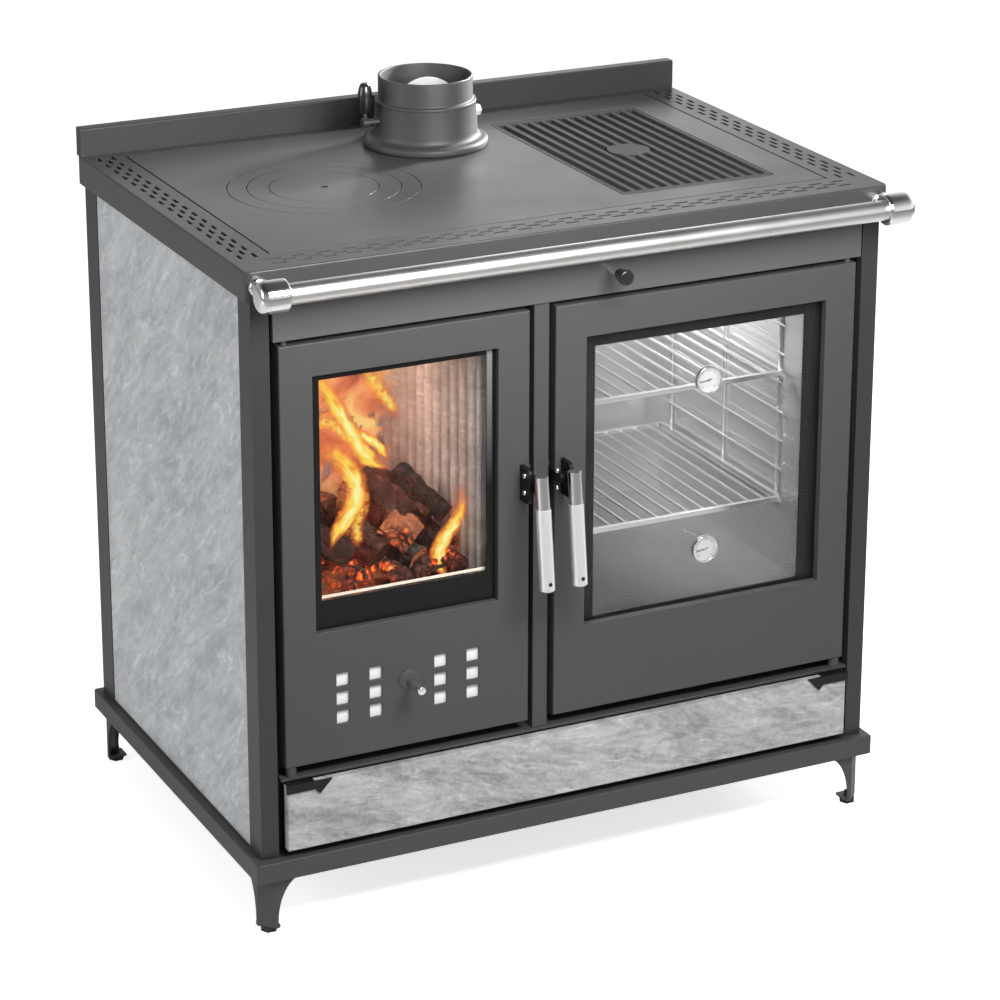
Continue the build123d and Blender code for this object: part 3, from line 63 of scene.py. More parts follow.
# %% Place the camera
azimuth, elevation, roll = math.radians(-25.63), math.radians(18.39), math.radians(-0.04)
target = Vector((-0.0118, 0.0238, 0.6189))
distance = 4.465
back_way = Vector((
    math.sin(azimuth) * math.cos(elevation),
    -math.cos(azimuth) * math.cos(elevation),
    math.sin(elevation),
))
level = (-back_way).cross(Vector((0, 0, 1))).normalized()
upright = level.cross(-back_way)
right_way = math.cos(roll) * level + math.sin(roll) * upright
up_way = math.cos(roll) * upright - math.sin(roll) * level
lens = bpy.data.cameras.new("photo_camera")
lens.lens, lens.sensor_width, lens.shift_x, lens.shift_y = 123.3, 36, 0.03, -0.15
camera = bpy.data.objects.new("photo_camera", lens)
camera.matrix_world = (
    Matrix.Translation(target + distance * back_way)
    @ Matrix((right_way, up_way, back_way)).transposed().to_4x4()
)
bpy.context.collection.objects.link(camera)
bpy.context.scene.camera = camera
bpy.context.scene.view_settings.view_transform = "Standard"
print("camera", distance, "m away,", lens.lens, "mm")

# %% [markdown]
# ## Small helpers for shader trees
# Every finish below is a tree of nodes. Writing each node and each link by hand hides the idea of a finish
# under a pile of lines, so helpers do it: the first adds any node and fills its sockets, and the others
# stand on it for what comes again and again, such as sums, noises and mixes of colours.


# %% Node helpers
def add(tree, kind, sockets=None, **settings):
    """Adds a node. sockets maps an input's name or number to a value or to another node's output."""
    made = tree.nodes.new(kind)
    for name, value in settings.items():
        setattr(made, name, value)
    for key, value in (sockets or {}).items():
        if isinstance(value, bpy.types.NodeSocket):
            tree.links.new(value, made.inputs[key])
        else:
            made.inputs[key].default_value = value
    return made


def calc(tree, operation, *values, clamp=False):
    """The result of one sum or comparison."""
    sockets = dict(enumerate(values))
    return add(tree, "ShaderNodeMath", sockets, operation=operation, use_clamp=clamp).outputs[0]


def plus(tree, first, second, clamp=False):
    """first + second."""
    return calc(tree, "ADD", first, second, clamp=clamp)


def minus(tree, first, second, clamp=False):
    """first - second."""
    return calc(tree, "SUBTRACT", first, second, clamp=clamp)


def times(tree, first, second, clamp=False):
    """first x second."""
    return calc(tree, "MULTIPLY", first, second, clamp=clamp)


def grain_of(tree, place, scale, detail, output=0, **extra):
    """Noise of a given fineness at a place; output 0 is a number, output 1 a colour."""
    sockets = {"Vector": place, "Scale": scale, "Detail": detail, **extra}
    return add(tree, "ShaderNodeTexNoise", sockets).outputs[output]


def vector_calc(tree, operation, first, second):
    """calc for vectors."""
    return add(tree, "ShaderNodeVectorMath", {0: first, 1: second}, operation=operation).outputs[0]


def scaled(tree, vector, factor):
    """A vector or a colour made longer or brighter by a number."""
    return add(tree, "ShaderNodeVectorMath", {0: vector, 3: factor}, operation="SCALE").outputs[0]


def axes(tree, vector):
    """The X, Y and Z of a vector, as three outputs."""
    return add(tree, "ShaderNodeSeparateXYZ", {0: vector}).outputs


def blend_colours(tree, factor, first, second, way="MIX"):
    """first where factor is 0, second where it is 1."""
    sockets = {0: factor, 6: first, 7: second}
    return add(tree, "ShaderNodeMix", sockets, data_type="RGBA", blend_type=way).outputs[2]


def ramp(tree, value, first, last, *between):
    """The colours from first to last, with others at given places between them."""
    made = add(tree, "ShaderNodeValToRGB", {0: value})
    stops = made.color_ramp.elements
    stops[0].color, stops[1].color = first, last
    for at, tint in between:
        stops.new(at).color = tint
    return made.outputs[0]


def spread(tree, value, low, high, to_low=0.0, to_high=1.0):
    """value moved from the range low..high to the range to_low..to_high, and kept inside it."""
    return add(tree, "ShaderNodeMapRange", {0: value, 1: low, 2: high, 3: to_low, 4: to_high}).outputs[0]


def object_coordinates(tree, stretch=(1, 1, 1), turn=(0, 0, 0)):
    """Where a point of the piece lies, in metres, stretched or turned."""
    place = add(tree, "ShaderNodeTexCoord").outputs["Object"]
    return add(tree, "ShaderNodeMapping", {"Vector": place, "Rotation": turn, "Scale": stretch}).outputs[0]


def new_material(name, **constants):
    """A material with its tree and its Principled shader, on which the constants are set."""
    material = bpy.data.materials.new(name)
    material.use_nodes = True
    principled = material.node_tree.nodes["Principled BSDF"]
    for key, value in constants.items():
        principled.inputs[key.replace("_", " ")].default_value = value
    return material, material.node_tree, principled


def placed(name, data):
    """A new object for a mesh, a lamp or a camera, put into the scene."""
    made = bpy.data.objects.new(name, data)
    bpy.context.collection.objects.link(made)
    return made


def new_group(name, inputs, outputs):
    """A node group with named sockets. Returns its tree, its inputs and the node that takes its results."""
    kinds = {"colour": "NodeSocketColor", "value": "NodeSocketFloat", "vector": "NodeSocketVector"}
    tree = bpy.data.node_groups.new(name, "ShaderNodeTree")
    for title, kind, start in inputs:
        socket = tree.interface.new_socket(title, in_out="INPUT", socket_type=kinds[kind])
        socket.default_value = start
    for title, kind in outputs:
        tree.interface.new_socket(title, in_out="OUTPUT", socket_type=kinds[kind])
    given = tree.nodes.new("NodeGroupInput").outputs
    return tree, given, tree.nodes.new("NodeGroupOutput")


def give(tree, node, **values):
    """Links results to the inputs of a shader or of the node that takes a group's results."""
    for name, socket in values.items():
        tree.links.new(socket, node.inputs[name.replace("_", " ")])


print("helpers for shader trees are ready")

# %% [markdown]
# ## Effects that several finishes share
# ** Soft edges.** A folded sheet or a cast plate never ends in a knife edge; a thin line of light runs along
# each fold. Cutting a bevel into every CAD mesh would mean changing it, so the Bevel node rounds only the
# shading. It also tells how far the rounded normal leaves the true one, which marks the edges. The finishes
# give
# those edges a colour of their own: partly paint rubbed thin, partly a painted edge highlight.

# %% Soft edges
tree, given, result = new_group(
    "soft edges", [("Radius", "value", 0.001)], [("Normal", "vector"), ("Edge", "value")]
)
rounded_normal = add(tree, "ShaderNodeBevel", {"Radius": given["Radius"]}, samples=4).outputs[0]
true_normal = add(tree, "ShaderNodeNewGeometry").outputs["Normal"]
likeness = add(tree, "ShaderNodeVectorMath", {0: rounded_normal, 1: true_normal}, operation="DOT_PRODUCT")
edge = spread(tree, likeness.outputs["Value"], 0.98, 0.75)
give(tree, result, Normal=rounded_normal, Edge=edge)
soft_edges = tree
print("group", soft_edges.name)

# %% [markdown]
# **Paint.** Stove paint is sprayed and baked. Seen close it has a fine orange-peel grain, and seen from a
# step away its grey drifts a little from patch to patch. Two noises of very different size make both.

# %% Paint grain
skin_outputs = [("Colour", "colour"), ("Roughness", "value"), ("Height", "value")]
tree, given, result = new_group(
    "paint grain",
    [("Colour", "colour", (0.1, 0.1, 0.1, 1)), ("Drift", "value", 0.06), ("Grain", "value", 900.0),
     ("Roughness", "value", 0.5)],
    skin_outputs,
)
place = object_coordinates(tree)
grain = grain_of(tree, place, given["Grain"], 2.0)
patches = grain_of(tree, place, 7.0, 4.0)
drift = times(tree, minus(tree, patches, 0.5), given["Drift"])
speck = times(tree, minus(tree, grain, 0.5), times(tree, given["Drift"], 1.5))
light = plus(tree, plus(tree, drift, speck), 1.0)
colour = scaled(tree, given["Colour"], light)
rough = plus(tree, given["Roughness"], times(tree, minus(tree, patches, 0.5), 0.12))
give(tree, result, Colour=colour, Roughness=rough, Height=grain)
paint_grain = tree
print("group", paint_grain.name)

# %% [markdown]
# **Brushed metal.** Stainless steel leaves the rolling mill with fine straight scratches. Noise that is
# stretched a hundred times along one axis reads as brushing; it changes roughness and colour a little.

# %% Brushing
tree, given, result = new_group(
    "brushing",
    [("Colour", "colour", (0.6, 0.6, 0.6, 1)), ("Stretch", "vector", (4, 400, 400)), ("Depth", "value", 0.1),
     ("Roughness", "value", 0.3)],
    skin_outputs,
)
place = add(tree, "ShaderNodeTexCoord").outputs["Object"]
along = vector_calc(tree, "MULTIPLY", place, given["Stretch"])
lines = grain_of(tree, along, 1.0, 3.0)
smears = grain_of(tree, place, 18.0, 3.0)
swing = times(tree, minus(tree, lines, 0.5), given["Depth"])
smeared = times(tree, minus(tree, smears, 0.5), 0.12)
rough = plus(tree, given["Roughness"], plus(tree, times(tree, swing, 0.8), smeared), clamp=True)
colour = scaled(tree, given["Colour"], plus(tree, swing, 1.0))
give(tree, result, Colour=colour, Roughness=rough, Height=lines)
brushing = tree
print("group", brushing.name)

# %% [markdown]
# **Cast iron.** A sand casting keeps the grain of its mould as small dimples, and grinding flattens it
# again. Voronoi cells give the dimples, a noise on top breaks up their evenness.

# %% Casting skin
tree, given, result = new_group(
    "casting skin",
    [("Colour", "colour", (0.1, 0.1, 0.1, 1)), ("Cell", "value", 500.0), ("Drift", "value", 0.2),
     ("Roughness", "value", 0.5)],
    skin_outputs,
)
place = object_coordinates(tree)
cells = add(tree, "ShaderNodeTexVoronoi", {"Vector": place, "Scale": given["Cell"]}, feature="SMOOTH_F1")
clouds = grain_of(tree, place, 9.0, 6.0)
grit = grain_of(tree, place, 260.0, 3.0)
uneven = minus(tree, plus(tree, clouds, times(tree, grit, 0.5)), 0.75)
light = plus(tree, 1.0, times(tree, given["Drift"], uneven))
colour = scaled(tree, given["Colour"], light)
rough = plus(tree, given["Roughness"], times(tree, minus(tree, clouds, 0.5), 0.2))
height = plus(tree, cells.outputs[0], times(tree, grit, 0.6))
give(tree, result, Colour=colour, Roughness=rough, Height=height)
casting_skin = tree
print("group", casting_skin.name)

# %% [markdown]
# **Stone.** The cladding is a split and honed grey stone: pale and dark clouds, fine speckle, and soft
# diagonal streaks where the layers run, with a few pale veins. The place is squeezed along one slanting
# direction and warped by a noise; clouds, streaks and veins are noises at that place, the veins being the
# level lines of theirs. The speckle stays unwarped.

# %% Stone
tree, given, result = new_group(
    "mottled stone",
    [("Pale", "colour", (0.45, 0.46, 0.46, 1)), ("Dark", "colour", (0.24, 0.25, 0.25, 1)),
     ("Turn", "vector", (0, 0, 0)), ("Size", "value", 1.0)],
    skin_outputs,
)
place = add(tree, "ShaderNodeTexCoord").outputs["Object"]
turned_place = add(tree, "ShaderNodeMapping", {"Vector": place, "Rotation": given["Turn"]}).outputs[0]
squeezed = vector_calc(tree, "MULTIPLY", turned_place, (1.0, 1.0, 3.2))
warp = grain_of(tree, squeezed, 4.0, 3.0, 1)
offset = scaled(tree, warp, 0.16)
warped = vector_calc(tree, "ADD", squeezed, offset)
sized = scaled(tree, warped, given["Size"])
clouds = grain_of(tree, sized, 7.0, 9.0, Roughness=0.68)
speckle = grain_of(tree, place, 190.0, 4.0)
streaks = grain_of(tree, sized, 34.0, 6.0)
vein_field = grain_of(tree, sized, 5.5, 6.0, Distortion=0.9)
vein_line = calc(tree, "ABSOLUTE", minus(tree, vein_field, 0.5))
veins = times(tree, spread(tree, vein_line, 0.02, 0.0), spread(tree, streaks, 0.4, 0.62))
layers = plus(tree, times(tree, streaks, 0.27), times(tree, speckle, 0.18))
tone = plus(tree, times(tree, clouds, 0.55), layers)
plain = blend_colours(tree, spread(tree, tone, 0.4, 0.6), given["Dark"], given["Pale"])
colour = blend_colours(tree, times(tree, veins, 0.45), plain, given["Pale"], "SCREEN")
rough = spread(tree, clouds, 0.3, 0.7, 0.75, 0.58)
give(tree, result, Colour=colour, Roughness=rough, Height=tone)
mottled_stone = tree
print("group", mottled_stone.name)

# %% [markdown]
# ## A finish in one call
# Each material places one of those groups, adds a Bump node for its height and a Principled shader with the
# constants that belong to that finish. The shader itself always stays in the material.


# %% Finish helper
def finish(name, group, bump=0.0, depth=0.0003, edge=0.0, rim=None, **values):
    """A finish. Each of values goes to the group's input of that name or else to the Principled shader's."""
    material, tree, principled = new_material(name)
    skin = add(tree, "ShaderNodeGroup", node_tree=group)
    for key, value in values.items():
        key = key.replace("_", " ")
        owner = skin if key in skin.inputs else principled
        owner.inputs[key].default_value = value
    normal = None
    colour = skin.outputs["Colour"]
    if edge:
        soft = add(tree, "ShaderNodeGroup", {"Radius": edge}, node_tree=soft_edges)
        normal = soft.outputs["Normal"]
        # rim colours the edges: partly paint rubbed thin, partly a painted edge highlight
        if rim:
            colour = blend_colours(tree, soft.outputs["Edge"], colour, grey(rim))
    if bump:
        sockets = {"Strength": bump, "Distance": depth, "Height": skin.outputs["Height"]}
        if normal:
            sockets["Normal"] = normal
        normal = add(tree, "ShaderNodeBump", sockets).outputs[0]
    give(tree, principled, Base_Color=colour, Roughness=skin.outputs["Roughness"])
    if normal:
        give(tree, principled, Normal=normal)
    return material


def grey(level_of_grey, warmth=0.0):
    """A near-neutral colour, from its brightness and how warm it is."""
    return (level_of_grey * (1 + warmth), level_of_grey, level_of_grey * (1 - warmth), 1)


print("a middle grey is", grey(0.2))

# %% [markdown]
# ## Paints and enamels
# The carcass and the doors wear a dark grey stove paint with a low sheen. The hob border is a little darker
# and smoother, so it mirrors more of the sky. The fascia wears a lighter copy of the body paint, painted
# light, and the backsplash and the pillars a darker copy, painted shade.

# %% Painted finishes
body_paint = finish(
    "body_paint", paint_grain, Colour=grey(0.064), Drift=0.09, Roughness=0.48, bump=0.12, edge=0.0012,
    rim=0.11, Specular_IOR_Level=0.3,
)
door_paint = finish(
    "door_paint", paint_grain, Colour=grey(0.066, 0.01), Drift=0.09, Roughness=0.45, bump=0.12,
    edge=0.0012, rim=0.12, Specular_IOR_Level=0.3,
)
hob_enamel = finish(
    "hob_enamel", paint_grain, Colour=grey(0.05), Drift=0.08, Roughness=0.38, bump=0.08, edge=0.0012,
    rim=0.02,
)
black_paint = finish(
    "black_paint", paint_grain, Colour=grey(0.009), Drift=0.2, Roughness=0.4, bump=0.1, edge=0.0006,
    rim=0.03, Specular_IOR_Level=0.25,
)
inner_steel = finish("inner_steel", paint_grain, Colour=grey(0.06), Drift=0.3, Roughness=0.6, bump=0.2)
foot_rubber = finish("foot_rubber", paint_grain, Colour=grey(0.02), Drift=0.2, Roughness=0.8, bump=0.3)
handle_resin = finish(
    "handle_resin", paint_grain, Colour=grey(0.012), Drift=0.3, Roughness=0.22, Grain=1500.0,
    bump=0.05, Coat_Weight=0.4, Coat_Roughness=0.08,
)
# painted light: the fascia gets a lighter copy of the body paint
paint_with_painted_light = finish(
    "paint_with_painted_light", paint_grain, Colour=grey(0.086), Drift=0.09, Roughness=0.42, bump=0.12,
    edge=0.0012, rim=0.14,
)
# painted shade: the backsplash and the pillars get a darker copy of the body paint
paint_with_painted_shade = finish(
    "paint_with_painted_shade", paint_grain, Colour=grey(0.034, 0.02), Drift=0.1, Roughness=0.42, bump=0.12,
    edge=0.0012, rim=0.09, Specular_IOR_Level=0.4,
)
pale_steel = finish("pale_steel", paint_grain, Colour=grey(0.86), Drift=0.05, Roughness=0.4, bump=0.1)
print("painted finishes:", body_paint.name, door_paint.name, hob_enamel.name)

# %% [markdown]
# ## Castings
# The cooking plate and its rings are ground flat and blued, the griddle is left darker and rougher, and the
# flue collar is cast and then painted grey. They share the casting skin with different cells, colours and
# sheens.

# %% Cast finishes
ground_iron = finish(
    "ground_iron", casting_skin, Colour=grey(0.058), Cell=700.0, Drift=0.22, Roughness=0.4, bump=0.1,
    depth=0.0002, edge=0.0009, rim=0.1, Specular_IOR_Level=0.6,
)
griddle_iron = finish(
    "griddle_iron", casting_skin, Colour=grey(0.028), Cell=420.0, Drift=0.4, Roughness=0.5, bump=0.3,
    depth=0.0003, edge=0.0009, rim=0.11,
)
flue_iron = finish(
    "flue_iron", casting_skin, Colour=grey(0.042), Cell=600.0, Drift=0.16, Roughness=0.5, bump=0.12,
    depth=0.0002, edge=0.0012, rim=0.24,
)
bare_iron = finish(
    "bare_iron", casting_skin, Colour=grey(0.03), Cell=350.0, Drift=0.5, Roughness=0.7, bump=0.4,
)
print("castings:", ground_iron.name, griddle_iron.name, flue_iron.name, bare_iron.name)

# %% [markdown]
# ## Metals
# Chrome on the caps and collars is a mirror with a few faint wipe marks. The rail and the lower grips are
# satin stainless steel brushed lengthwise, and the oven is a soft mirror that doubles its racks in its
# walls.

# %% Metal finishes
chrome = finish(
    "chrome", brushing, Colour=grey(0.86), Stretch=(30, 30, 30), Depth=0.04, Roughness=0.05,
    Metallic=1.0,
)
rail_steel = finish(
    "rail_steel", brushing, Colour=grey(0.74, 0.02), Stretch=(3, 900, 900), Depth=0.16, Roughness=0.3,
    bump=0.05, depth=0.0001, Metallic=1.0,
)
grip_steel = finish(
    "grip_steel", brushing, Colour=grey(0.95), Stretch=(900, 900, 20), Depth=0.05, Roughness=0.22,
    Metallic=0.7,
)
oven_steel = finish(
    "oven_steel", brushing, Colour=grey(0.78), Stretch=(500, 6, 500), Depth=0.14, Roughness=0.2,
    Metallic=0.72,
)
bright_wire = finish(
    "bright_wire", brushing, Colour=grey(0.95), Stretch=(300, 300, 300), Depth=0.06, Roughness=0.24,
    Metallic=0.88,
)
print("metals:", chrome.name, rail_steel.name, grip_steel.name, oven_steel.name, bright_wire.name)

# %% [markdown]
# The oven's steel is bright towards its right, its back and its top, and dim elsewhere: painted light and
# shade. The damper's disc is pale, but its lever is black. One helper draws both: it darkens a metal along a
# direction.


# %% Metals that darken along the piece: painted shade in the oven, a black lever on the damper
def darkened(material, towards, low, high, dark):
    """Multiplies a finish's colour by dark below low, rising to white above high, along one direction."""
    tree = material.node_tree
    principled = tree.nodes["Principled BSDF"]
    colour = principled.inputs["Base Color"].links[0].from_socket
    place = add(tree, "ShaderNodeTexCoord").outputs["Object"]
    along = add(tree, "ShaderNodeVectorMath", {0: place, 1: towards}, operation="DOT_PRODUCT")
    veil = blend_colours(tree, spread(tree, along.outputs["Value"], low, high), dark, (1, 1, 1, 1))
    give(tree, principled, Base_Color=blend_colours(tree, 1.0, colour, veil, "MULTIPLY"))


# painted light and shade: the oven's walls darken away from its right, back and top
darkened(oven_steel, (0.8, 0.25, 0.6), 0.26, 0.58, grey(0.13))
damper_metal = finish(
    "damper_metal", brushing, Colour=grey(0.8), Stretch=(200, 200, 200), Depth=0.08, Roughness=0.3,
    Metallic=0.3,
)
darkened(damper_metal, (1, 0, 0), -0.07, -0.066, grey(0.06))
print("darkened metals:", oven_steel.name, damper_metal.name)

# %% [markdown]
# The border printed on the fire glass is black, with a painted reflection, a pale patch near its right edge
# that is strongest at the top. The ledge that the pane stands on is steel with a warm tint of painted
# firelight.

# %% Border with a painted reflection, and a ledge with painted firelight
black_with_painted_reflection = finish(
    "black_with_painted_reflection", paint_grain, Colour=grey(0.008), Drift=0.2, Roughness=0.25, bump=0.03,
    Specular_IOR_Level=0.25,
)
tree = black_with_painted_reflection.node_tree
principled = tree.nodes["Principled BSDF"]
place = axes(tree, add(tree, "ShaderNodeTexCoord").outputs["Object"])
rise_from_left, rise_from_right, rise_upwards = (-0.1215, -0.1195), (-0.1125, -0.114), (0.54, 0.72)
# painted reflection: a pale grey patch near the border's right edge, strongest at the top
painted_reflection = times(tree, spread(tree, place["X"], *rise_from_left), spread(tree, place["X"], *rise_from_right))
painted_reflection = times(tree, painted_reflection, spread(tree, place["Z"], *rise_upwards))
black = principled.inputs["Base Color"].links[0].from_socket
give(tree, principled, Base_Color=blend_colours(tree, painted_reflection, black, grey(0.2)))

# painted firelight: the ledge's steel is tinted warm
steel_with_painted_firelight = finish(
    "steel_with_painted_firelight", brushing, Colour=(1.0, 0.86, 0.72, 1), Stretch=(8, 500, 500), Depth=0.2,
    Roughness=0.35, Metallic=0.3,
)
print("on the fire door:", black_with_painted_reflection.name, steel_with_painted_firelight.name)

# %% [markdown]
# A dial has a printed face under a thin clear cover, which the coat of the shader stands for.

# %% The printed face of a dial
dial_face = finish(
    "dial_face", paint_grain, Colour=grey(0.55), Drift=0.08, Roughness=0.3, Grain=1200.0, bump=0.05,
    Coat_Weight=0.6, Coat_Roughness=0.05,
)
print("face", dial_face.name)

# %% [markdown]
# ## Stone, brick and rope
# The side stones and the drawer front share one kind of stone, with steeper streaks on the sides and
# flatter ones on the drawer; the sides wear a paler copy of it, painted light. The firebricks are pale and
# dusty, and the door rope is a braid, drawn here by two crossing waves.

# %% Mineral finishes
# painted light: the sides get paler colours of the drawer's stone
side_stone = finish(
    "side_stone", mottled_stone, Pale=(0.56, 0.575, 0.59, 1), Dark=(0.36, 0.375, 0.39, 1),
    Turn=(math.radians(38), 0, 0), bump=0.25, depth=0.002, edge=0.001,
)
drawer_stone = finish(
    "drawer_stone", mottled_stone, Pale=(0.52, 0.52, 0.53, 1), Dark=(0.25, 0.25, 0.257, 1),
    Turn=(0, math.radians(-14), 0), Size=1.4, bump=0.25, depth=0.002, edge=0.001,
)
fire_brick = finish(
    "fire_brick", mottled_stone, Pale=(0.64, 0.57, 0.53, 1), Dark=(0.42, 0.35, 0.32, 1), Size=1.3,
    bump=0.3, depth=0.001,
)
print("minerals:", side_stone.name, drawer_stone.name, fire_brick.name)

# %% [markdown]
# The rope around each door is braided from glass yarn. Where two sets of diagonal waves cross, the higher
# one lies on top, and fine noise is the fluff. Where the braid lies low the rope is darker: painted shade.

# %% Rope for the door seals
seal_rope, tree, principled = new_material("seal_rope", Roughness=0.9)
place = object_coordinates(tree)
waves = []
for way in (place, object_coordinates(tree, turn=(0, math.radians(90), 0))):
    sockets = {"Vector": way, "Scale": 95.0, "Distortion": 1.0}
    waves.append(add(tree, "ShaderNodeTexWave", sockets, bands_direction="DIAGONAL").outputs[1])
braid = calc(tree, "MAXIMUM", *waves)
fluff = grain_of(tree, place, 700.0, 3.0)
# painted shade between the strands, with the fluff's own speckle
fluff_and_painted_groove_shade = blend_colours(tree, times(tree, braid, fluff), grey(0.05), grey(0.2, 0.03))
braid_bump = add(tree, "ShaderNodeBump", {"Strength": 0.6, "Distance": 0.001, "Height": braid}).outputs[0]
give(tree, principled, Base_Color=fluff_and_painted_groove_shade, Normal=braid_bump)
print("rope", seal_rope.name)

# %% [markdown]
# ## Glass
# Both doors have clear ceramic glass. A solid pane bends light twice, and lamps can't be found through it,
# so the inside would stay dark; letting shadow rays pass straight through is the usual way out. A faint
# uneven haze keeps it from being perfectly clean.

# %% Clear glass
pane_glass, tree, principled = new_material("pane_glass", Transmission_Weight=1.0, IOR=1.17)
wipes = grain_of(tree, object_coordinates(tree, (3, 1, 9)), 2.5, 5.0)
clear = blend_colours(tree, wipes, (0.97, 0.97, 0.97, 1), (0.93, 0.94, 0.94, 1))
give(tree, principled, Roughness=spread(tree, wipes, 0.45, 0.8, 0.0, 0.05), Base_Color=clear)
passing = add(tree, "ShaderNodeBsdfTransparent", {"Color": (0.93, 0.93, 0.93, 1)})
in_shadow = add(tree, "ShaderNodeLightPath").outputs["Is Shadow Ray"]
mixed = add(tree, "ShaderNodeMixShader", {0: in_shadow, 1: principled.outputs[0], 2: passing.outputs[0]})
give(tree, tree.nodes["Material Output"], Surface=mixed.outputs[0])
print("glass", pane_glass.name)

# %% [markdown]
# ## Finishes on the CAD pieces
# The record says which finish each piece takes, by the name of its material slot. One table from slot to
# finish dresses most of them, and a second one names the pieces that have a finish of their own.

# %% Dress the CAD nodes
finish_of_slot = {
    "anthracite": body_paint, "door_paint": door_paint, "hob_steel": hob_enamel, "cast_plate": ground_iron,
    "griddle_iron": griddle_iron, "flue_iron": flue_iron, "black_iron": bare_iron, "black_steel": black_paint,
    "soapstone": side_stone, "firebrick": fire_brick, "clear_glass": pane_glass, "rope": seal_rope,
    "chrome": chrome, "bright_metal": bright_wire, "light_steel": pale_steel, "satin_grip": grip_steel,
    "brushed_rail": rail_steel, "oven_steel": oven_steel, "dial_metal": chrome, "black_plastic": handle_resin,
    "feet": foot_rubber,
}
own_finish = {
    "drawer_front": drawer_stone, "firebox_shell": inner_steel, "ash_pan": inner_steel,
    "smoke_shelf": inner_steel, "drawer_box": inner_steel, "back_panel": body_paint,
    "fire_door_pins": inner_steel, "oven_door_pins": inner_steel, "backsplash": paint_with_painted_shade,
    "flue_damper": damper_metal, "front_pillars": paint_with_painted_shade, "rear_pillars": paint_with_painted_shade,
    "fascia": paint_with_painted_light, "fire_glass_border": black_with_painted_reflection,
}
subparts = frame["record"]["subparts"]
for part in subparts:
    material = own_finish.get(part["node"], finish_of_slot[part["material_slot"]])
    for place_in_mesh in nodes[part["node"]].material_slots:
        place_in_mesh.material = material
print("dressed", len(subparts), "nodes;", len(own_finish), "of them have a finish of their own")


# %% [markdown]
# ## Turned parts
# Caps, collars, knobs and grips are turned on a lathe, so each is a profile spun about its axis. The
# profile's corners are rounded first, because a real tool never leaves a sharp one.


# %% Lathe helpers
def rounded(outline, radius, steps=4):
    """The outline with each inner corner replaced by a small arc."""
    points = [outline[0]]
    for before, corner, after in zip(outline, outline[1:], outline[2:]):
        a, b, c = Vector(before), Vector(corner), Vector(after)
        reach = min(radius, (a - b).length * 0.45, (c - b).length * 0.45)
        start, end = b + (a - b).normalized() * reach, b + (c - b).normalized() * reach
        for i in range(steps + 1):
            t = i / steps
            points.append(tuple((1 - t) ** 2 * start + 2 * t * (1 - t) * b + t ** 2 * end))
    return points + [outline[-1]]


def new_piece(name, vertices, faces, material, smooth=True):
    """A mesh object at the origin, with its normals outwards."""
    mesh = bpy.data.meshes.new(name)
    mesh.from_pydata([tuple(v) for v in vertices], [], faces)
    mesh.materials.append(material)
    shape = bmesh.new()
    shape.from_mesh(mesh)
    bmesh.ops.remove_doubles(shape, verts=shape.verts, dist=1e-7)
    bmesh.ops.recalc_face_normals(shape, faces=shape.faces)
    shape.to_mesh(mesh)
    shape.free()
    mesh.shade_smooth() if smooth else mesh.shade_flat()
    if smooth:
        mesh.set_sharp_from_angle(angle=math.radians(35))
    return placed(name, mesh)


def quads(rows, columns, closed=True):
    """Faces between neighbouring rows of points; closed joins the last column to the first."""
    wide = columns if closed else columns + 1
    faces = []
    for near in range(0, rows * wide, wide):
        for i in range(columns):
            j = (i + 1) % wide
            faces.append((near + i, near + j, near + wide + j, near + wide + i))
    return faces


def turned(name, outline, foot, axis, material, sides=72):
    """Spins an outline of (radius, height) pairs about an axis that starts at foot."""
    axis = Vector(axis).normalized()
    across = axis.orthogonal().normalized()
    other = axis.cross(across)
    vertices = []
    for radius, height in outline:
        for i in range(sides):
            angle = 2 * math.pi * i / sides
            way = across * math.cos(angle) + other * math.sin(angle)
            vertices.append(Vector(foot) + axis * height + way * max(radius, 1e-6))
    return new_piece(name, vertices, quads(len(outline) - 1, sides), material)


def joined(name, parts):
    """Several objects as one, under one name."""
    with bpy.context.temp_override(active_object=parts[0], selected_editable_objects=parts):
        bpy.ops.object.join()
    parts[0].name = parts[0].data.name = name
    return parts[0]


print("lathe ready; a corner rounds into", len(rounded([(0, 0), (1, 0), (1, 1)], 0.1)) - 2, "points")

# %% [markdown]
# ## Towel rail
# The rail ends in two polished caps on short posts. They are thick turned pieces with a rounded nose, and
# as mirrors they show every facet, so they stand in for the plainer caps of the frame.

# %% Rail caps
low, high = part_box("rail_brackets")
tube_low, tube_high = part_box("rail_tube")
rail_y, rail_z = (tube_low.y + tube_high.y) / 2, (tube_low.z + tube_high.z) / 2
tube_radius = (tube_high.y - tube_low.y) / 2
cap_radius = rail_y - low.y
cap_length = 0.038
nose = [(0, 0), (cap_radius * 0.55, 0), (cap_radius - 0.003, 0.002), (cap_radius, 0.008),
        (cap_radius, cap_length - 0.003), (cap_radius - 0.002, cap_length), (tube_radius, cap_length)]
post = [(0, -0.002), (0.012, -0.002), (0.012, 0.0035), (0.0105, 0.005), (0.008, 0.006), (0.008, 0.03)]
caps = []
for side in (-1, 1):
    end = Vector((side * high.x, rail_y, rail_z))
    caps.append(turned("cap", rounded(nose, 0.004), end, (-side, 0, 0), chrome))
    foot = Vector((side * (high.x - cap_length / 2), high.y - 0.002, rail_z))
    caps.append(turned("post", rounded(post, 0.001), foot, (0, -1, 0), chrome, sides=40))
rail_caps = joined("rail_caps", caps)
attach(rail_caps, "carcass")
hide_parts("rail_brackets")
print("rail caps", round(2000 * cap_radius), "mm across")

# %% [markdown]
# ## Flue collar
# The collar is one grey casting: a rounded flange on the plate, a slightly tapered body, a bead that stops
# the stove pipe, and a thin spigot above it.

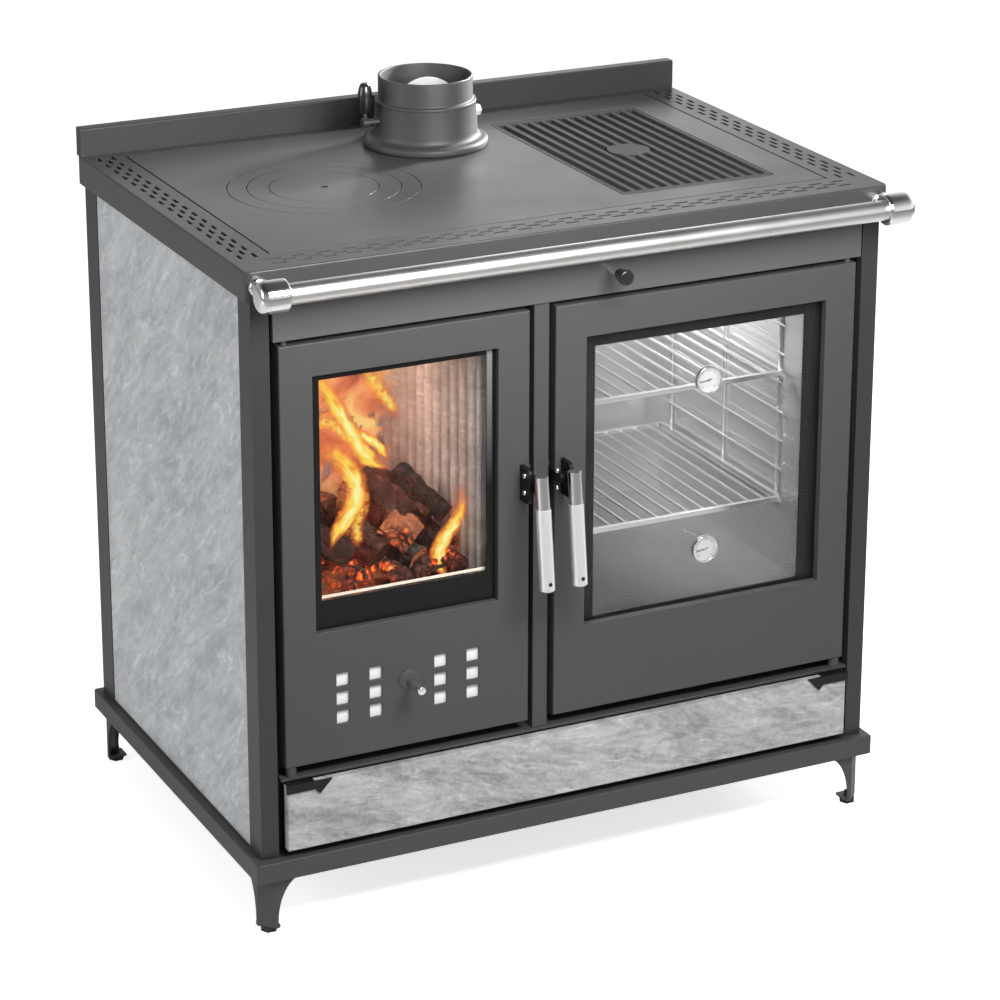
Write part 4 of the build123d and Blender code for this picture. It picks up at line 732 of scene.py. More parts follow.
# %% Collar
low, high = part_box("flue_collar")
flue_x, flue_y = (low.x + high.x) / 2, (low.y + high.y) / 2
flange = (high.x - low.x) / 2
tall = high.z - low.z
bore = 0.059
collar_outline = [
    (bore, 0.0), (flange - 0.003, 0.0), (flange, 0.003), (flange, 0.009), (flange - 0.004, 0.012),
    (0.0745, 0.0122), (0.0705, 0.0145), (0.069, 0.019), (0.0662, tall - 0.036), (0.067, tall - 0.0355),
    (0.067, tall - 0.032), (0.0624, tall - 0.0315), (0.0624, tall), (bore, tall), (bore, 0.0),
]
flue_casting = turned("flue_casting", rounded(collar_outline, 0.0016), (flue_x, flue_y, low.z), (0, 0, 1),
                      flue_iron, sides=128)
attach(flue_casting, "carcass")
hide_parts("flue_collar")
print("collar", round(1000 * tall), "mm tall")

# %% [markdown]
# ## Knobs
# The damper's lever ends in an oval grip and the smoke bypass in a small knob, both of black resin that
# stays cool.

# %% Knobs
low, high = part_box("damper_grip")
grip_r, grip_h = (high.x - low.x) / 2, high.z - low.z
oval = [(0.0026, 0.0)] + [
    (grip_r * (0.45 + 0.55 * math.sin(math.pi * t) ** 0.6), grip_h * t) for t in [i / 16 for i in range(17)]
] + [(0, grip_h)]
grip_foot = ((low.x + high.x) / 2, (low.y + high.y) / 2, low.z)
damper_knob = turned("damper_knob", oval, grip_foot, (0, 0, 1), handle_resin)
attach(damper_knob, "flue_damper")
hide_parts("damper_grip")

low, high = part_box("bypass_knob")
knob_r, knob_l = (high.x - low.x) / 2, high.y - low.y
knob = [(0.004, 0), (0.0066, 0), (0.0072, 0.002), (0.0082, knob_l * 0.45), (knob_r, knob_l * 0.8),
        (knob_r, knob_l * 0.93), (knob_r * 0.86, knob_l), (0, knob_l)]
knob_foot = ((low.x + high.x) / 2, high.y, (low.z + high.z) / 2)
pull_knob = turned("pull_knob", rounded(knob, 0.0015), knob_foot, (0, -1, 0), handle_resin)
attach(pull_knob, "bypass_damper")
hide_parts("bypass_knob")
print("grip", round(1000 * grip_h), "mm, knob", round(1000 * knob_l), "mm long")

# %% [markdown]
# ## Oven fittings
# The racks hang in wire ladders on the oven's walls: three upright wires and a row of rungs on each side.
# Round wire is a polygon pushed along a line, with its ends closed, and the rungs are a loop over heights.


# %% Ladders
def wire(start, end, radius, material, sides=8):
    """A straight round wire between two points."""
    start, end = Vector(start), Vector(end)
    outline = [(0, 0), (radius, 0), (radius, (end - start).length), (0, (end - start).length)]
    return turned("wire", outline, start, end - start, material, sides)


runner_low, runner_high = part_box("oven_runners")
rungs, rung_radius, post_radius = 8, 0.0012, 0.0022
wires = []
for side, wall in ((1, runner_low.x), (-1, runner_high.x)):
    post_x, rung_x = wall + side * 0.003, wall + side * 0.0085
    for post_y in (runner_low.y + 0.02, (runner_low.y + runner_high.y) / 2, runner_high.y - 0.02):
        foot, top = (post_x, post_y, runner_low.z), (post_x, post_y, runner_high.z)
        wires.append(wire(foot, top, post_radius, bright_wire))
    for i in range(rungs):
        z = runner_low.z + 0.012 + (runner_high.z - runner_low.z - 0.024) * i / (rungs - 1)
        near, far = runner_low.y, runner_high.y
        wires.append(wire((rung_x, near, z), (rung_x, far, z), rung_radius, bright_wire))
        wires.append(wire((post_x, near + 0.02, z), (rung_x, near + 0.02, z), rung_radius, bright_wire))
        wires.append(wire((post_x, far - 0.02, z), (rung_x, far - 0.02, z), rung_radius, bright_wire))
ladders = joined("oven_ladders", wires)
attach(ladders, "carcass")
print("ladders:", rungs, "rungs on each side,", len(ladders.data.polygons), "faces")

# %% [markdown]
# **Dials.** Two round dials sit behind the oven glass, each a chrome bezel with a pale face, a ring of
# ticks and a needle. The ticks are one small bar placed round a circle by a loop.


# %% Dials
def bar(centre, along, length, width, thickness, out, material):
    """A thin bar that lies on a face; along is its direction and out points away from the face."""
    centre, along, out = Vector(centre), Vector(along).normalized(), Vector(out).normalized()
    aside = along.cross(out)
    corners = []
    for depth in (0, thickness):
        for u, v in ((-1, -1), (1, -1), (1, 1), (-1, 1)):
            corners.append(centre + along * u * length / 2 + aside * v * width / 2 + out * depth)
    return new_piece("bar", corners, quads(1, 4) + [(0, 1, 2, 3), (4, 5, 6, 7)], material, False)


dial_low, dial_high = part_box("oven_dials")
dial_radius = (dial_high.x - dial_low.x) / 2
dial_x = (dial_low.x + dial_high.x) / 2
forwards = Vector((0, -1, 0))
ticks, first_tick, tick_step, needle_turn = 19, -135, 15, -100
dial_parts = []
for dial_z in (dial_low.z + dial_radius, dial_high.z - dial_radius):
    back = Vector((dial_x, dial_high.y, dial_z))
    deep = dial_high.y - dial_low.y
    bezel = [(0, 0), (dial_radius * 0.9, 0), (dial_radius * 0.98, deep * 0.3), (dial_radius, deep * 0.75),
             (dial_radius * 0.97, deep), (dial_radius * 0.86, deep), (dial_radius * 0.82, deep * 0.72)]
    dial_parts.append(turned("bezel", rounded(bezel, 0.0006), back, forwards, chrome, 64))
    face = [(dial_radius * 0.83, deep * 0.7), (dial_radius * 0.83, deep * 0.74), (0, deep * 0.74)]
    dial_parts.append(turned("face", face, back, forwards, dial_face, 64))
    middle = back + forwards * deep * 0.74
    for i in range(ticks):
        angle = math.radians(first_tick + tick_step * i)
        way = Vector((math.sin(angle), 0, math.cos(angle)))
        long = 0.0036 if i % 3 == 0 else 0.002
        spot = middle + way * (dial_radius * 0.78 - long / 2)
        dial_parts.append(bar(spot, way, long, 0.0006, 0.0002, forwards, black_paint))
    angle = math.radians(needle_turn)
    way = Vector((math.sin(angle), 0, math.cos(angle)))
    spot = middle + way * 0.004 + forwards * 0.0003
    dial_parts.append(bar(spot, way, 0.017, 0.0011, 0.0003, forwards, black_paint))
    dial_parts.append(turned("hub", [(0.002, 0), (0.002, 0.0009), (0, 0.0011)], middle, forwards, chrome, 24))
dials = joined("dials", dial_parts)
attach(dials, "oven_door")
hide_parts("oven_dials")
print("dials", round(2000 * dial_radius), "mm across")

# %% [markdown]
# **Screws.** Button-head screws hold the latch plates and the oven door's inner frame. One lathe outline,
# with a sunk middle for the socket, makes them all; only places, directions and radii differ.


# %% Screws
def screws(name, places, way, radius, body):
    """Button-head screws at some places, all pointing the same way, as one piece on a body."""
    outline = [(0, 0), (radius, 0), (radius, radius * 0.35), (radius * 0.78, radius * 0.7),
               (radius * 0.46, radius * 0.72), (radius * 0.42, radius * 0.3), (0, radius * 0.28)]
    made = joined(name, [turned("screw", outline, place, way, chrome, 18) for place in places])
    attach(made, body)
    return made


latch_screw_radius, frame_screw_radius = 0.0034, 0.003
frame_screw_heights, from_frame_edge = (0.385, 0.592), 0.028
for door in ("fire", "oven"):
    low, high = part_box(door + "_latch_bracket")
    middle_y = low.y + (high.y - low.y) * 0.45
    places = [(low.x, middle_y, low.z + (high.z - low.z) * share) for share in (0.3, 0.78)]
    screws(door + "_latch_screws", places, (-1, 0, 0), latch_screw_radius, door + "_door")
low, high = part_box("oven_inner_frame")
places = [(high.x - from_frame_edge, low.y, z) for z in frame_screw_heights]
screws("frame_screws", places, (0, -1, 0), frame_screw_radius, "oven_door")
print("screws on latches and inner frame")

# %% [markdown]
# ** Grub screw holes.** Near its lower end each sleeve has a small hole in front, where a grub screw holds
# it; a dark disc stands for it, painted shade in the hole along with the screw's own dark steel. The sleeves
# lean forwards by a few degrees, so the disc's place follows from the lean and from the sleeve's box.

# %% Holes in the sleeves
lean, sleeve_radius, from_end = math.radians(7), 0.0098, 0.010
hole_way = Vector((0, -math.cos(lean), math.sin(lean)))
for door in ("fire", "oven"):
    low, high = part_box(door + "_handle_sleeve")
    sleeve_way = Vector((0, -math.sin(lean), -math.cos(lean)))
    aside, above = sleeve_radius * math.cos(lean), sleeve_radius * math.sin(lean)
    end = Vector(((low.x + high.x) / 2, low.y + aside, low.z + above))
    spot = end - sleeve_way * from_end + hole_way * (sleeve_radius - 0.0004)
    # painted shade: a flat dark disc for the hole, with the grub screw's dark steel in it
    rim = [(0, 0), (0.0026, 0), (0.0026, 0.0006), (0, 0.0006)]
    hole = turned(door + "_sleeve_hole", rim, spot, hole_way, handle_resin, 24)
    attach(hole, door + "_handle")
print("holes", round(1000 * from_end), "mm from the sleeves' ends")

# %% [markdown]
# ** Glass ledge.** The fire glass stands on a bright ledge that shows as a warm line over the black band; its warm tint is painted firelight.

# %% Glass ledge
glass_low, glass_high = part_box("fire_door_glass")
border_low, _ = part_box("fire_glass_border")
ledge_z = border_low.z + 0.0395
ledge = bar(((glass_low.x + glass_high.x) / 2 - 0.0005, glass_high.y + 0.0004, ledge_z), (1, 0, 0),
            glass_high.x - glass_low.x - 0.034, 0.0032, 0.002, (0, 1, 0), steel_with_painted_firelight)
ledge.name = "glass_ledge"
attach(ledge, "fire_door")
print("ledge at", round(ledge_z, 4), "m")

# %% [markdown]
# **Air valve.** The pull rod is thicker towards its bright end and runs through a small dished washer.

# %% Air valve rod
low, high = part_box("air_knob")
rod_r, rod_reach = (high.x - low.x) / 2, high.y - low.y
rod_middle = ((low.x + high.x) / 2, high.y, (low.z + high.z) / 2)
rod = [(0, 0), (rod_r * 0.62, 0), (rod_r * 0.62, rod_reach * 0.5), (rod_r * 0.98, rod_reach * 0.56),
       (rod_r, rod_reach - 0.0015), (rod_r * 0.9, rod_reach), (0, rod_reach)]
air_rod = turned("air_rod", rounded(rod, 0.0008), rod_middle, (0, -1, 0), chrome, 40)
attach(air_rod, "air_valve")
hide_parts("air_knob")
door_low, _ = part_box("fire_door_frame")
washer = [(rod_r * 0.6, 0), (0.0135, 0), (0.0135, 0.0006), (0.0095, 0.0022), (rod_r * 0.6, 0.0012)]
washer_place = (rod_middle[0], door_low.y - 0.0004, rod_middle[2])
air_washer = turned("air_washer", rounded(washer, 0.0003), washer_place, (0, -1, 0), door_paint, 40)
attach(air_washer, "air_valve")
print("air rod", round(1000 * rod_reach), "mm long")

# %% [markdown]
# ## The fire
# Behind the left glass a fire burns on a bed of embers. It has four parts: fluted firebrick, split logs,
# embers, and flames. They belong to the carcass and stay behind when the door opens.
#
# **Fluted brick.** The frame's linings have fine flutes; seen through the glass the real ones are broad
# ribs with narrow grooves, so two new walls are drawn by pushing a ribbed outline upwards.


# %% Ribbed firebrick
def pushed_up(name, outline, low_z, high_z, material):
    """A closed outline of (x, y) pairs made into an upright wall."""
    count = len(outline)
    vertices = [(x, y, z) for z in (low_z, high_z) for x, y in outline]
    caps = [tuple(range(count)), tuple(range(count, 2 * count))]
    return new_piece(name, vertices, quads(1, count) + caps, material, False)


low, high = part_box("side_linings")
rib_pitch, groove, points_per_rib = 0.0255, 0.0105, 16
walls = []
for side, outer, inner in ((-1, low.x, low.x + 0.025), (1, high.x, high.x - 0.025)):
    ribs = []
    steps = points_per_rib * round((high.y - low.y) / rib_pitch)
    for i in range(steps + 1):
        y = low.y + (high.y - low.y) * i / steps
        swell = abs(math.cos(math.pi * (y - low.y) / rib_pitch)) ** 0.6
        ribs.append((inner + side * groove * (1 - swell), y))
    walls.append(pushed_up("wall", [(outer, low.y)] + ribs + [(outer, high.y)], low.z, high.z, fire_brick))
ribbed_brick = joined("ribbed_brick", walls)
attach(ribbed_brick, "carcass")
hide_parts("side_linings")
print("ribs", round((high.y - low.y) / rib_pitch), "on each side")

# %% [markdown]
# **Charcoal.** Burning wood cracks into small blocks. Distances to the edges of Voronoi cells draw the
# cracks, and a slow noise decides where they still glow: in the cracks of a log, or all over the face of an
# ember. Ash lies as a grey film on what points up.

# %% Charcoal
tree, given, result = new_group(
    "charcoal",
    [("Heat", "value", 0.5), ("Face", "value", 0.0), ("Block", "value", 60.0),
     ("Wood", "colour", (0.05, 0.03, 0.02, 1))],
    [("Colour", "colour"), ("Glow", "colour"), ("Height", "value")],
)
place = object_coordinates(tree)
twist = grain_of(tree, place, 30.0, 3.0, 1)
bent = vector_calc(tree, "ADD", place, scaled(tree, twist, 0.02))
crack = add(tree, "ShaderNodeTexVoronoi", {"Vector": bent, "Scale": given["Block"]},
            feature="DISTANCE_TO_EDGE").outputs[0]
slow = grain_of(tree, place, 22.0, 4.0)
fine = grain_of(tree, place, 160.0, 4.0)
depth = spread(tree, crack, 0.0, 0.25)
hot = times(tree, spread(tree, slow, 0.6, 0.42), given["Heat"])
in_crack = times(tree, spread(tree, depth, 0.3, 0.0), hot)
on_face = times(tree, times(tree, depth, spread(tree, fine, 0.3, 0.68)), hot)
from_face = times(tree, on_face, given["Face"])
from_cracks = times(tree, in_crack, minus(tree, 1.0, given["Face"]))
mixed = plus(tree, from_face, from_cracks, clamp=True)
glow = ramp(
    tree, mixed, (0, 0, 0, 1), (1, 0.3, 0.045, 1),
    (0.3, (0.10, 0.012, 0.004, 1)), (0.6, (0.72, 0.075, 0.012, 1)),
)
upward = axes(tree, add(tree, "ShaderNodeNewGeometry").outputs["Normal"])["Z"]
ash = times(tree, spread(tree, upward, 0.5, 1.0), spread(tree, fine, 0.5, 0.62))
wood = blend_colours(tree, spread(tree, slow, 0.35, 0.65), (0.02, 0.012, 0.009, 1), given["Wood"])
give(tree, result, Colour=blend_colours(tree, times(tree, ash, 0.35), wood, grey(0.14, 0.05)),
     Glow=glow, Height=plus(tree, depth, times(tree, fine, 0.4)))
charcoal = tree
print("group", charcoal.name)


def burning(name, heat, face, block, wood, glow=1.0):
    """A charcoal material."""
    material, tree, principled = new_material(
        name, Emission_Strength=glow, Roughness=0.85, Specular_IOR_Level=0.12,
    )
    values = {"Heat": heat, "Face": face, "Block": block, "Wood": wood}
    skin = add(tree, "ShaderNodeGroup", values, node_tree=charcoal).outputs
    bump = add(tree, "ShaderNodeBump", {"Strength": 0.8, "Distance": 0.003, "Height": skin["Height"]})
    give(tree, principled, Base_Color=skin["Colour"], Emission_Color=skin["Glow"], Normal=bump.outputs[0])
    return material


log_char = burning("log_char", 0.75, 0.55, 70.0, (0.05, 0.014, 0.008, 1), 1.3)
log_end = burning("log_end", 0.9, 1.1, 75.0, (0.4, 0.13, 0.05, 1), 1.0)
dark_char = burning("dark_char", 0.4, 0.2, 60.0, (0.03, 0.016, 0.012, 1))
ember_char = burning("ember_char", 0.9, 1.2, 60.0, (0.05, 0.015, 0.01, 1), 1.5)

# %% [markdown]
# **Logs.** Each log is a split billet: rings of points with rounded-square outlines are strung along an
# axis and pushed about by noise, and both ends are closed. A short glowing piece lies in front of the big
# one.


# %% Logs
def split_log(start, end, width, height, seed, side_material, end_material):
    """A rough billet from start to end, in millimetres."""
    start, end = Vector(start) / 1000, Vector(end) / 1000
    along = (end - start).normalized()
    across = along.cross(Vector((0, 0, 1))).normalized()
    upwards = across.cross(along)
    rings, sides = 22, 28
    shift = Vector((seed * 3.1, seed * 1.7, 0))
    vertices = []
    for i in range(rings + 1):
        t = i / rings
        middle = start.lerp(end, t) + upwards * 0.004 * noise.noise(Vector((t * 4, 0, 0)) + shift)
        for k in range(sides):
            angle = 2 * math.pi * k / sides
            c, s = math.cos(angle), math.sin(angle)
            square = (abs(c) ** 4 + abs(s) ** 4) ** -0.25
            point = middle + (across * c * width + upwards * s * height) * square / 2000
            rough = noise.fractal(point * 45 + shift, 0.8, 2.2, 4) * 0.0045
            vertices.append(point + (across * c + upwards * s) * rough)
    faces = quads(rings, sides)
    count = len(faces)
    for first, middle in ((0, start), (rings * sides, end)):
        centre = len(vertices)
        vertices.append(middle)
        faces += [(first + k, first + (k + 1) % sides, centre) for k in range(sides)]
    made = new_piece("billet", vertices, faces, side_material)
    made.data.materials.append(end_material)
    for face in made.data.polygons[count:]:
        face.material_index = 1
        face.use_smooth = False
    return made


billets = [
    split_log((-228, -108, 532), (-190, -152, 456), 48, 40, 1, log_char, log_end),
    split_log((-178, -98, 520), (-130, -150, 470), 26, 22, 2, dark_char, dark_char),
    split_log((-330, -140, 476), (-268, -160, 446), 44, 34, 3, dark_char, log_end),
    split_log((-262, -120, 474), (-226, -168, 440), 40, 34, 4, log_char, dark_char),
    split_log((-214, -120, 446), (-178, -170, 424), 38, 30, 5, dark_char, log_end),
    split_log((-330, -20, 500), (-240, -90, 452), 54, 46, 6, log_char, dark_char),
    split_log((-160, -90, 452), (-128, -160, 424), 34, 28, 7, dark_char, dark_char),
    split_log((-274, -150, 440), (-256, -128, 524), 17, 13, 8, log_end, log_end),
    split_log((-212, -148, 476), (-184, -172, 452), 44, 38, 9, log_end, log_end),
    split_log((-196, -84, 506), (-150, -138, 464), 34, 30, 10, log_char, dark_char),
]
logs = joined("logs", billets)
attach(logs, "carcass")
print(len(billets), "logs,", len(logs.data.polygons), "faces")

# %% [markdown]
# **Embers.** Lumps of charcoal lie on the grate. Geometry Nodes scatter them: points are strewn at random
# over a heaped sheet, each gets a small rough ball of its own size and turn, and the whole bed is made real
# at the end.

# %% Ember bed
bed = bpy.data.node_groups.new("ember_bed", "GeometryNodeTree")
bed.interface.new_socket("Geometry", in_out="INPUT", socket_type="NodeSocketGeometry")
density_socket = bed.interface.new_socket("Density", in_out="INPUT", socket_type="NodeSocketFloat")
seed_socket = bed.interface.new_socket("Seed", in_out="INPUT", socket_type="NodeSocketInt")
bed.interface.new_socket("Geometry", in_out="OUTPUT", socket_type="NodeSocketGeometry")
given = bed.nodes.new("NodeGroupInput").outputs
points = add(bed, "GeometryNodeDistributePointsOnFaces",
             {"Mesh": given["Geometry"], "Density": given["Density"], "Seed": given["Seed"]})
lump = add(bed, "GeometryNodeMeshIcoSphere", {"Radius": 0.010, "Subdivisions": 2})
bump_way = add(bed, "ShaderNodeTexNoise", {"Scale": 90.0, "Detail": 2.0}).outputs[1]
push = scaled(bed, vector_calc(bed, "SUBTRACT", bump_way, (0.5, 0.5, 0.5)), 0.011)
rough_lump = add(bed, "GeometryNodeSetPosition", {"Geometry": lump.outputs["Mesh"], "Offset": push})
turn = add(bed, "FunctionNodeRandomValue", {0: (0, 0, 0), 1: (6.28, 6.28, 6.28), "Seed": given["Seed"]},
           data_type="FLOAT_VECTOR").outputs[0]
size = add(bed, "FunctionNodeRandomValue", {2: 0.5, 3: 1.5, "Seed": given["Seed"]}).outputs[1]
strewn = add(bed, "GeometryNodeInstanceOnPoints", {
    "Points": points.outputs["Points"], "Instance": rough_lump.outputs[0], "Rotation": turn, "Scale": size,
})
real = add(bed, "GeometryNodeRealizeInstances", {"Geometry": strewn.outputs[0]})
dressed = add(bed, "GeometryNodeSetMaterial", {"Geometry": real.outputs[0], "Material": ember_char})
bed.links.new(dressed.outputs[0], bed.nodes.new("NodeGroupOutput").inputs[0])


def grown(name, base, group, settings):
    """The evaluated result of a node tree on a base mesh, as a plain mesh object."""
    modifier = base.modifiers.new("grow", "NODES")
    modifier.node_group = group
    for socket, value in settings.items():
        modifier[socket.identifier] = value
    result = base.evaluated_get(bpy.context.evaluated_depsgraph_get())
    mesh = bpy.data.meshes.new_from_object(result)
    base.modifiers.remove(modifier)
    bpy.data.objects.remove(base)
    mesh.name = name
    return placed(name, mesh)


def grid_sheet(name, low_x, high_x, low_y, high_y, level_z, steps=24, rise=0.0):
    """A level sheet of squares, optionally heaped up by noise."""
    vertices, faces = [], []
    for i in range(steps + 1):
        for k in range(steps + 1):
            x = low_x + (high_x - low_x) * i / steps
            y = low_y + (high_y - low_y) * k / steps
            vertices.append((x, y, level_z + rise * (0.5 + noise.noise(Vector((x * 14, y * 14, 0))))))
    for i in range(steps):
        for k in range(steps):
            a = i * (steps + 1) + k
            faces.append((a, a + steps + 1, a + steps + 2, a + 1))
    return new_piece(name, vertices, faces, ember_char)


hearth = (-0.338, -0.124, -0.196, 0.15)
ground = grid_sheet("ground", *hearth, 0.404, rise=0.022)
embers = grown("embers", ground, bed, {density_socket: 3000.0, seed_socket: 4})
ash_ground = grid_sheet("ash_ground", *hearth, 0.403, rise=0.018)
ash_ground.data.materials[0] = dark_char
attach(embers, "carcass")
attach(ash_ground, "carcass")
print("embers:", len(embers.data.polygons), "faces")

# %% [markdown]
# **Flames.** A flame is a ribbon that follows a few points, with a strip of coordinates on it: across from
# edge to edge, and along from root to tip. The finish reads those, bends them with noise, and lets the
# ribbon fade at its edges and tip. It gives its own light, and its colour runs from red at the rim to pale
# yellow in the core.

# %% Flame finish
tree, given, result = new_group(
    "flame",
    [("Heat", "value", 1.0), ("Ragged", "value", 0.5), ("Rate", "value", 3.0)],
    [("Colour", "colour"), ("Cover", "value")],
)
strip = add(tree, "ShaderNodeTexCoord").outputs["UV"]
parts = axes(tree, strip)
stretched = add(tree, "ShaderNodeCombineXYZ", {"X": times(tree, parts["X"], 0.8),
                "Y": times(tree, parts["Y"], given["Rate"])}).outputs[0]
waver = grain_of(tree, stretched, 2.2, 4.0, Distortion=0.8)
across = minus(tree, times(tree, parts["X"], 2.0), 1.0)
bent = plus(tree, across, times(tree, minus(tree, waver, 0.5), given["Ragged"]))
core = minus(tree, 1.0, calc(tree, "POWER", calc(tree, "ABSOLUTE", bent), 1.1), clamp=True)
wisps = spread(tree, grain_of(tree, stretched, 3.2, 3.0, Distortion=1.0), 0.28, 0.62, 0.5, 1.15)
ends = times(tree, spread(tree, parts["Y"], 0.0, 0.16), spread(tree, parts["Y"], 1.0, 0.6))
edge_fade = spread(tree, calc(tree, "ABSOLUTE", across), 1.0, 0.7)
shape = times(tree, times(tree, core, ends), times(tree, edge_fade, given["Heat"]))
heat = times(tree, shape, wisps)
colour = ramp(
    tree, heat, (0.7, 0.08, 0.02, 1), (1, 0.93, 0.4, 1),
    (0.22, (0.92, 0.2, 0.045, 1)), (0.42, (1, 0.42, 0.07, 1)), (0.62, (1, 0.7, 0.1, 1)),
)
give(tree, result, Colour=colour, Cover=spread(tree, heat, 0.05, 0.5))
flame_group = tree
print("group", flame_group.name)


def flame_finish(name, heat, ragged, rate, cover=1.0):
    """A flame material."""
    material, tree, principled = new_material(
        name, Base_Color=(0, 0, 0, 1), Emission_Strength=1.0, Specular_IOR_Level=0.0, Roughness=1.0,
    )
    values = {"Heat": heat, "Ragged": ragged, "Rate": rate}
    skin = add(tree, "ShaderNodeGroup", values, node_tree=flame_group).outputs
    give(tree, principled, Emission_Color=skin["Colour"], Alpha=times(tree, skin["Cover"], cover))
    return material


bright_flame = flame_finish("bright_flame", 1.0, 1.0, 2.2)
soft_flame = flame_finish("soft_flame", 0.7, 1.3, 4.0, 0.85)
red_flame = flame_finish("red_flame", 0.2, 1.3, 4.0, 0.9)


# %% [markdown]
# The ribbons themselves are tongues of flame. Each is given by a few points from root to tip and a few
# widths; a smooth line runs through the points, and the strip is bulged towards the front so that it isn't
# flat.


# %% Flame ribbons
def smooth_path(points, steps=26):
    """A smooth line through the points."""
    padded = [points[0] * 2 - points[1]] + points + [points[-1] * 2 - points[-2]]
    line = []
    for i in range(steps + 1):
        at = min(i / steps * (len(points) - 1), len(points) - 1.0001)
        k, t = int(at), at - int(at)
        a, b, c, d = padded[k:k + 4]
        line.append(0.5 * (2 * b + (c - a) * t + (2 * a - 5 * b + 4 * c - d) * t * t
                           + (3 * b - a - 3 * c + d) * t ** 3))
    return line


def flame(name, points, widths, material, columns=8):
    """A flame ribbon through points in millimetres; widths run from root to tip."""
    line = smooth_path([Vector(p) / 1000 for p in points])
    facing_way = Vector((-0.43, -0.9, 0))
    vertices, strip = [], []
    for i, point in enumerate(line):
        t = i / (len(line) - 1)
        way = (line[min(i + 1, len(line) - 1)] - line[max(i - 1, 0)]).normalized()
        sideways_way = way.cross(facing_way).normalized()
        at = t * (len(widths) - 1)
        k = min(int(at), len(widths) - 2)
        half = (widths[k] + (widths[k + 1] - widths[k]) * (at - k)) / 2000
        for c in range(columns + 1):
            u = c / columns
            bulge = facing_way * half * 0.5 * (1 - (2 * u - 1) ** 2)
            vertices.append(point + sideways_way * (2 * u - 1) * half + bulge)
            strip.append((u, t))
    mesh = bpy.data.meshes.new(name)
    mesh.from_pydata([tuple(v) for v in vertices], [], quads(len(line) - 1, columns, closed=False))
    mesh.materials.append(material)
    layer = mesh.uv_layers.new(name="strip")
    for loop in mesh.loops:
        layer.data[loop.index].uv = strip[loop.vertex_index]
    mesh.shade_smooth()
    return placed(name, mesh)


tongues = [
    flame(name, points, widths, material) for name, material, widths, points in (
        ("flame_left", bright_flame, (10, 24, 32, 38, 46, 40),
         [(-300, -175, 462), (-290, -178, 486), (-272, -180, 512), (-264, -180, 540), (-276, -180, 570),
          (-302, -180, 598), (-334, -178, 612)]),
        ("flame_tongue", bright_flame, (14, 32, 26, 30, 36, 40),
         [(-192, -120, 530), (-220, -120, 548), (-238, -120, 574), (-252, -120, 604), (-270, -120, 636),
          (-292, -120, 670), (-316, -120, 706)]),
        ("flame_side", bright_flame, (12, 20, 16),
         [(-194, -118, 544), (-211, -118, 568), (-235, -118, 586), (-262, -118, 602)]),
        ("flame_mid", soft_flame, (14, 26, 36, 34),
         [(-240, -112, 560), (-256, -112, 590), (-276, -112, 606), (-302, -112, 606),
          (-326, -112, 590)]),
        ("flame_upper", soft_flame, (14, 34, 32, 40),
         [(-166, -90, 582), (-184, -90, 616), (-200, -90, 642), (-214, -90, 672), (-226, -90, 712)]),
        ("flame_right", bright_flame, (18, 27, 25, 20, 12),
         [(-146, -182, 398), (-156, -182, 428), (-148, -182, 452), (-131, -182, 472), (-122, -182, 496),
          (-124, -182, 530)]),
        ("flame_root", bright_flame, (18, 18, 14),
         [(-198, -182, 398), (-212, -182, 420), (-232, -182, 430)]),
        ("flame_stick", soft_flame, (18, 26, 20),
         [(-264, -178, 458), (-264, -178, 490), (-256, -178, 524), (-264, -178, 552)]),
        ("flame_halo", red_flame, (60, 70, 56, 36),
         [(-126, -150, 396), (-106, -150, 436), (-110, -150, 480), (-124, -150, 540)]),
        ("flame_red", red_flame, (90, 86, 60, 24),
         [(-330, -186, 396), (-308, -186, 416), (-296, -186, 440), (-304, -186, 470)]),
        ("flame_low", red_flame, (60, 56, 40, 20),
         [(-290, -186, 396), (-262, -186, 410), (-240, -186, 424), (-228, -186, 446)]),
        ("flame_glow", red_flame, (90, 100, 100, 80),
         [(-300, -60, 440), (-270, -60, 500), (-262, -60, 570), (-280, -60, 640)]),
    )
]
flames = joined("flames", tongues)
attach(flames, "carcass")
print(len(tongues), "tongues of flame")

# %% [markdown]
# Behind the tongues the flames run together into a glowing cloud. It is a sheet across the firebox whose
# cover and colour are two noises.

# %% Flame cloud
tree, given, result = new_group(
    "flame cloud", [("Strength", "value", 1.0)], [("Colour", "colour"), ("Cover", "value")],
)
strip = add(tree, "ShaderNodeTexCoord").outputs["UV"]
parts = axes(tree, strip)
tall_strip = add(tree, "ShaderNodeCombineXYZ", {"X": parts["X"], "Y": parts["Y"]}).outputs[0]
billow = grain_of(tree, tall_strip, 6.0, 6.0, Distortion=1.2)
tint = grain_of(tree, tall_strip, 3.1, 3.0, Distortion=0.6)
colour = ramp(
    tree, spread(tree, tint, 0.36, 0.64), (0.42, 0.09, 0.05, 1), (1, 0.62, 0.2, 1),
    (0.4, (0.85, 0.25, 0.11, 1)), (0.7, (0.98, 0.4, 0.15, 1)),
)
rim = times(tree, spread(tree, parts["X"], 1.0, 0.7), spread(tree, parts["Y"], 0.0, 0.35))
cloud = times(tree, spread(tree, billow, 0.36, 0.5), rim)
cover = times(tree, cloud, given["Strength"], clamp=True)
give(tree, result, Colour=colour, Cover=cover)
cloud_group = tree
print("group", cloud_group.name)

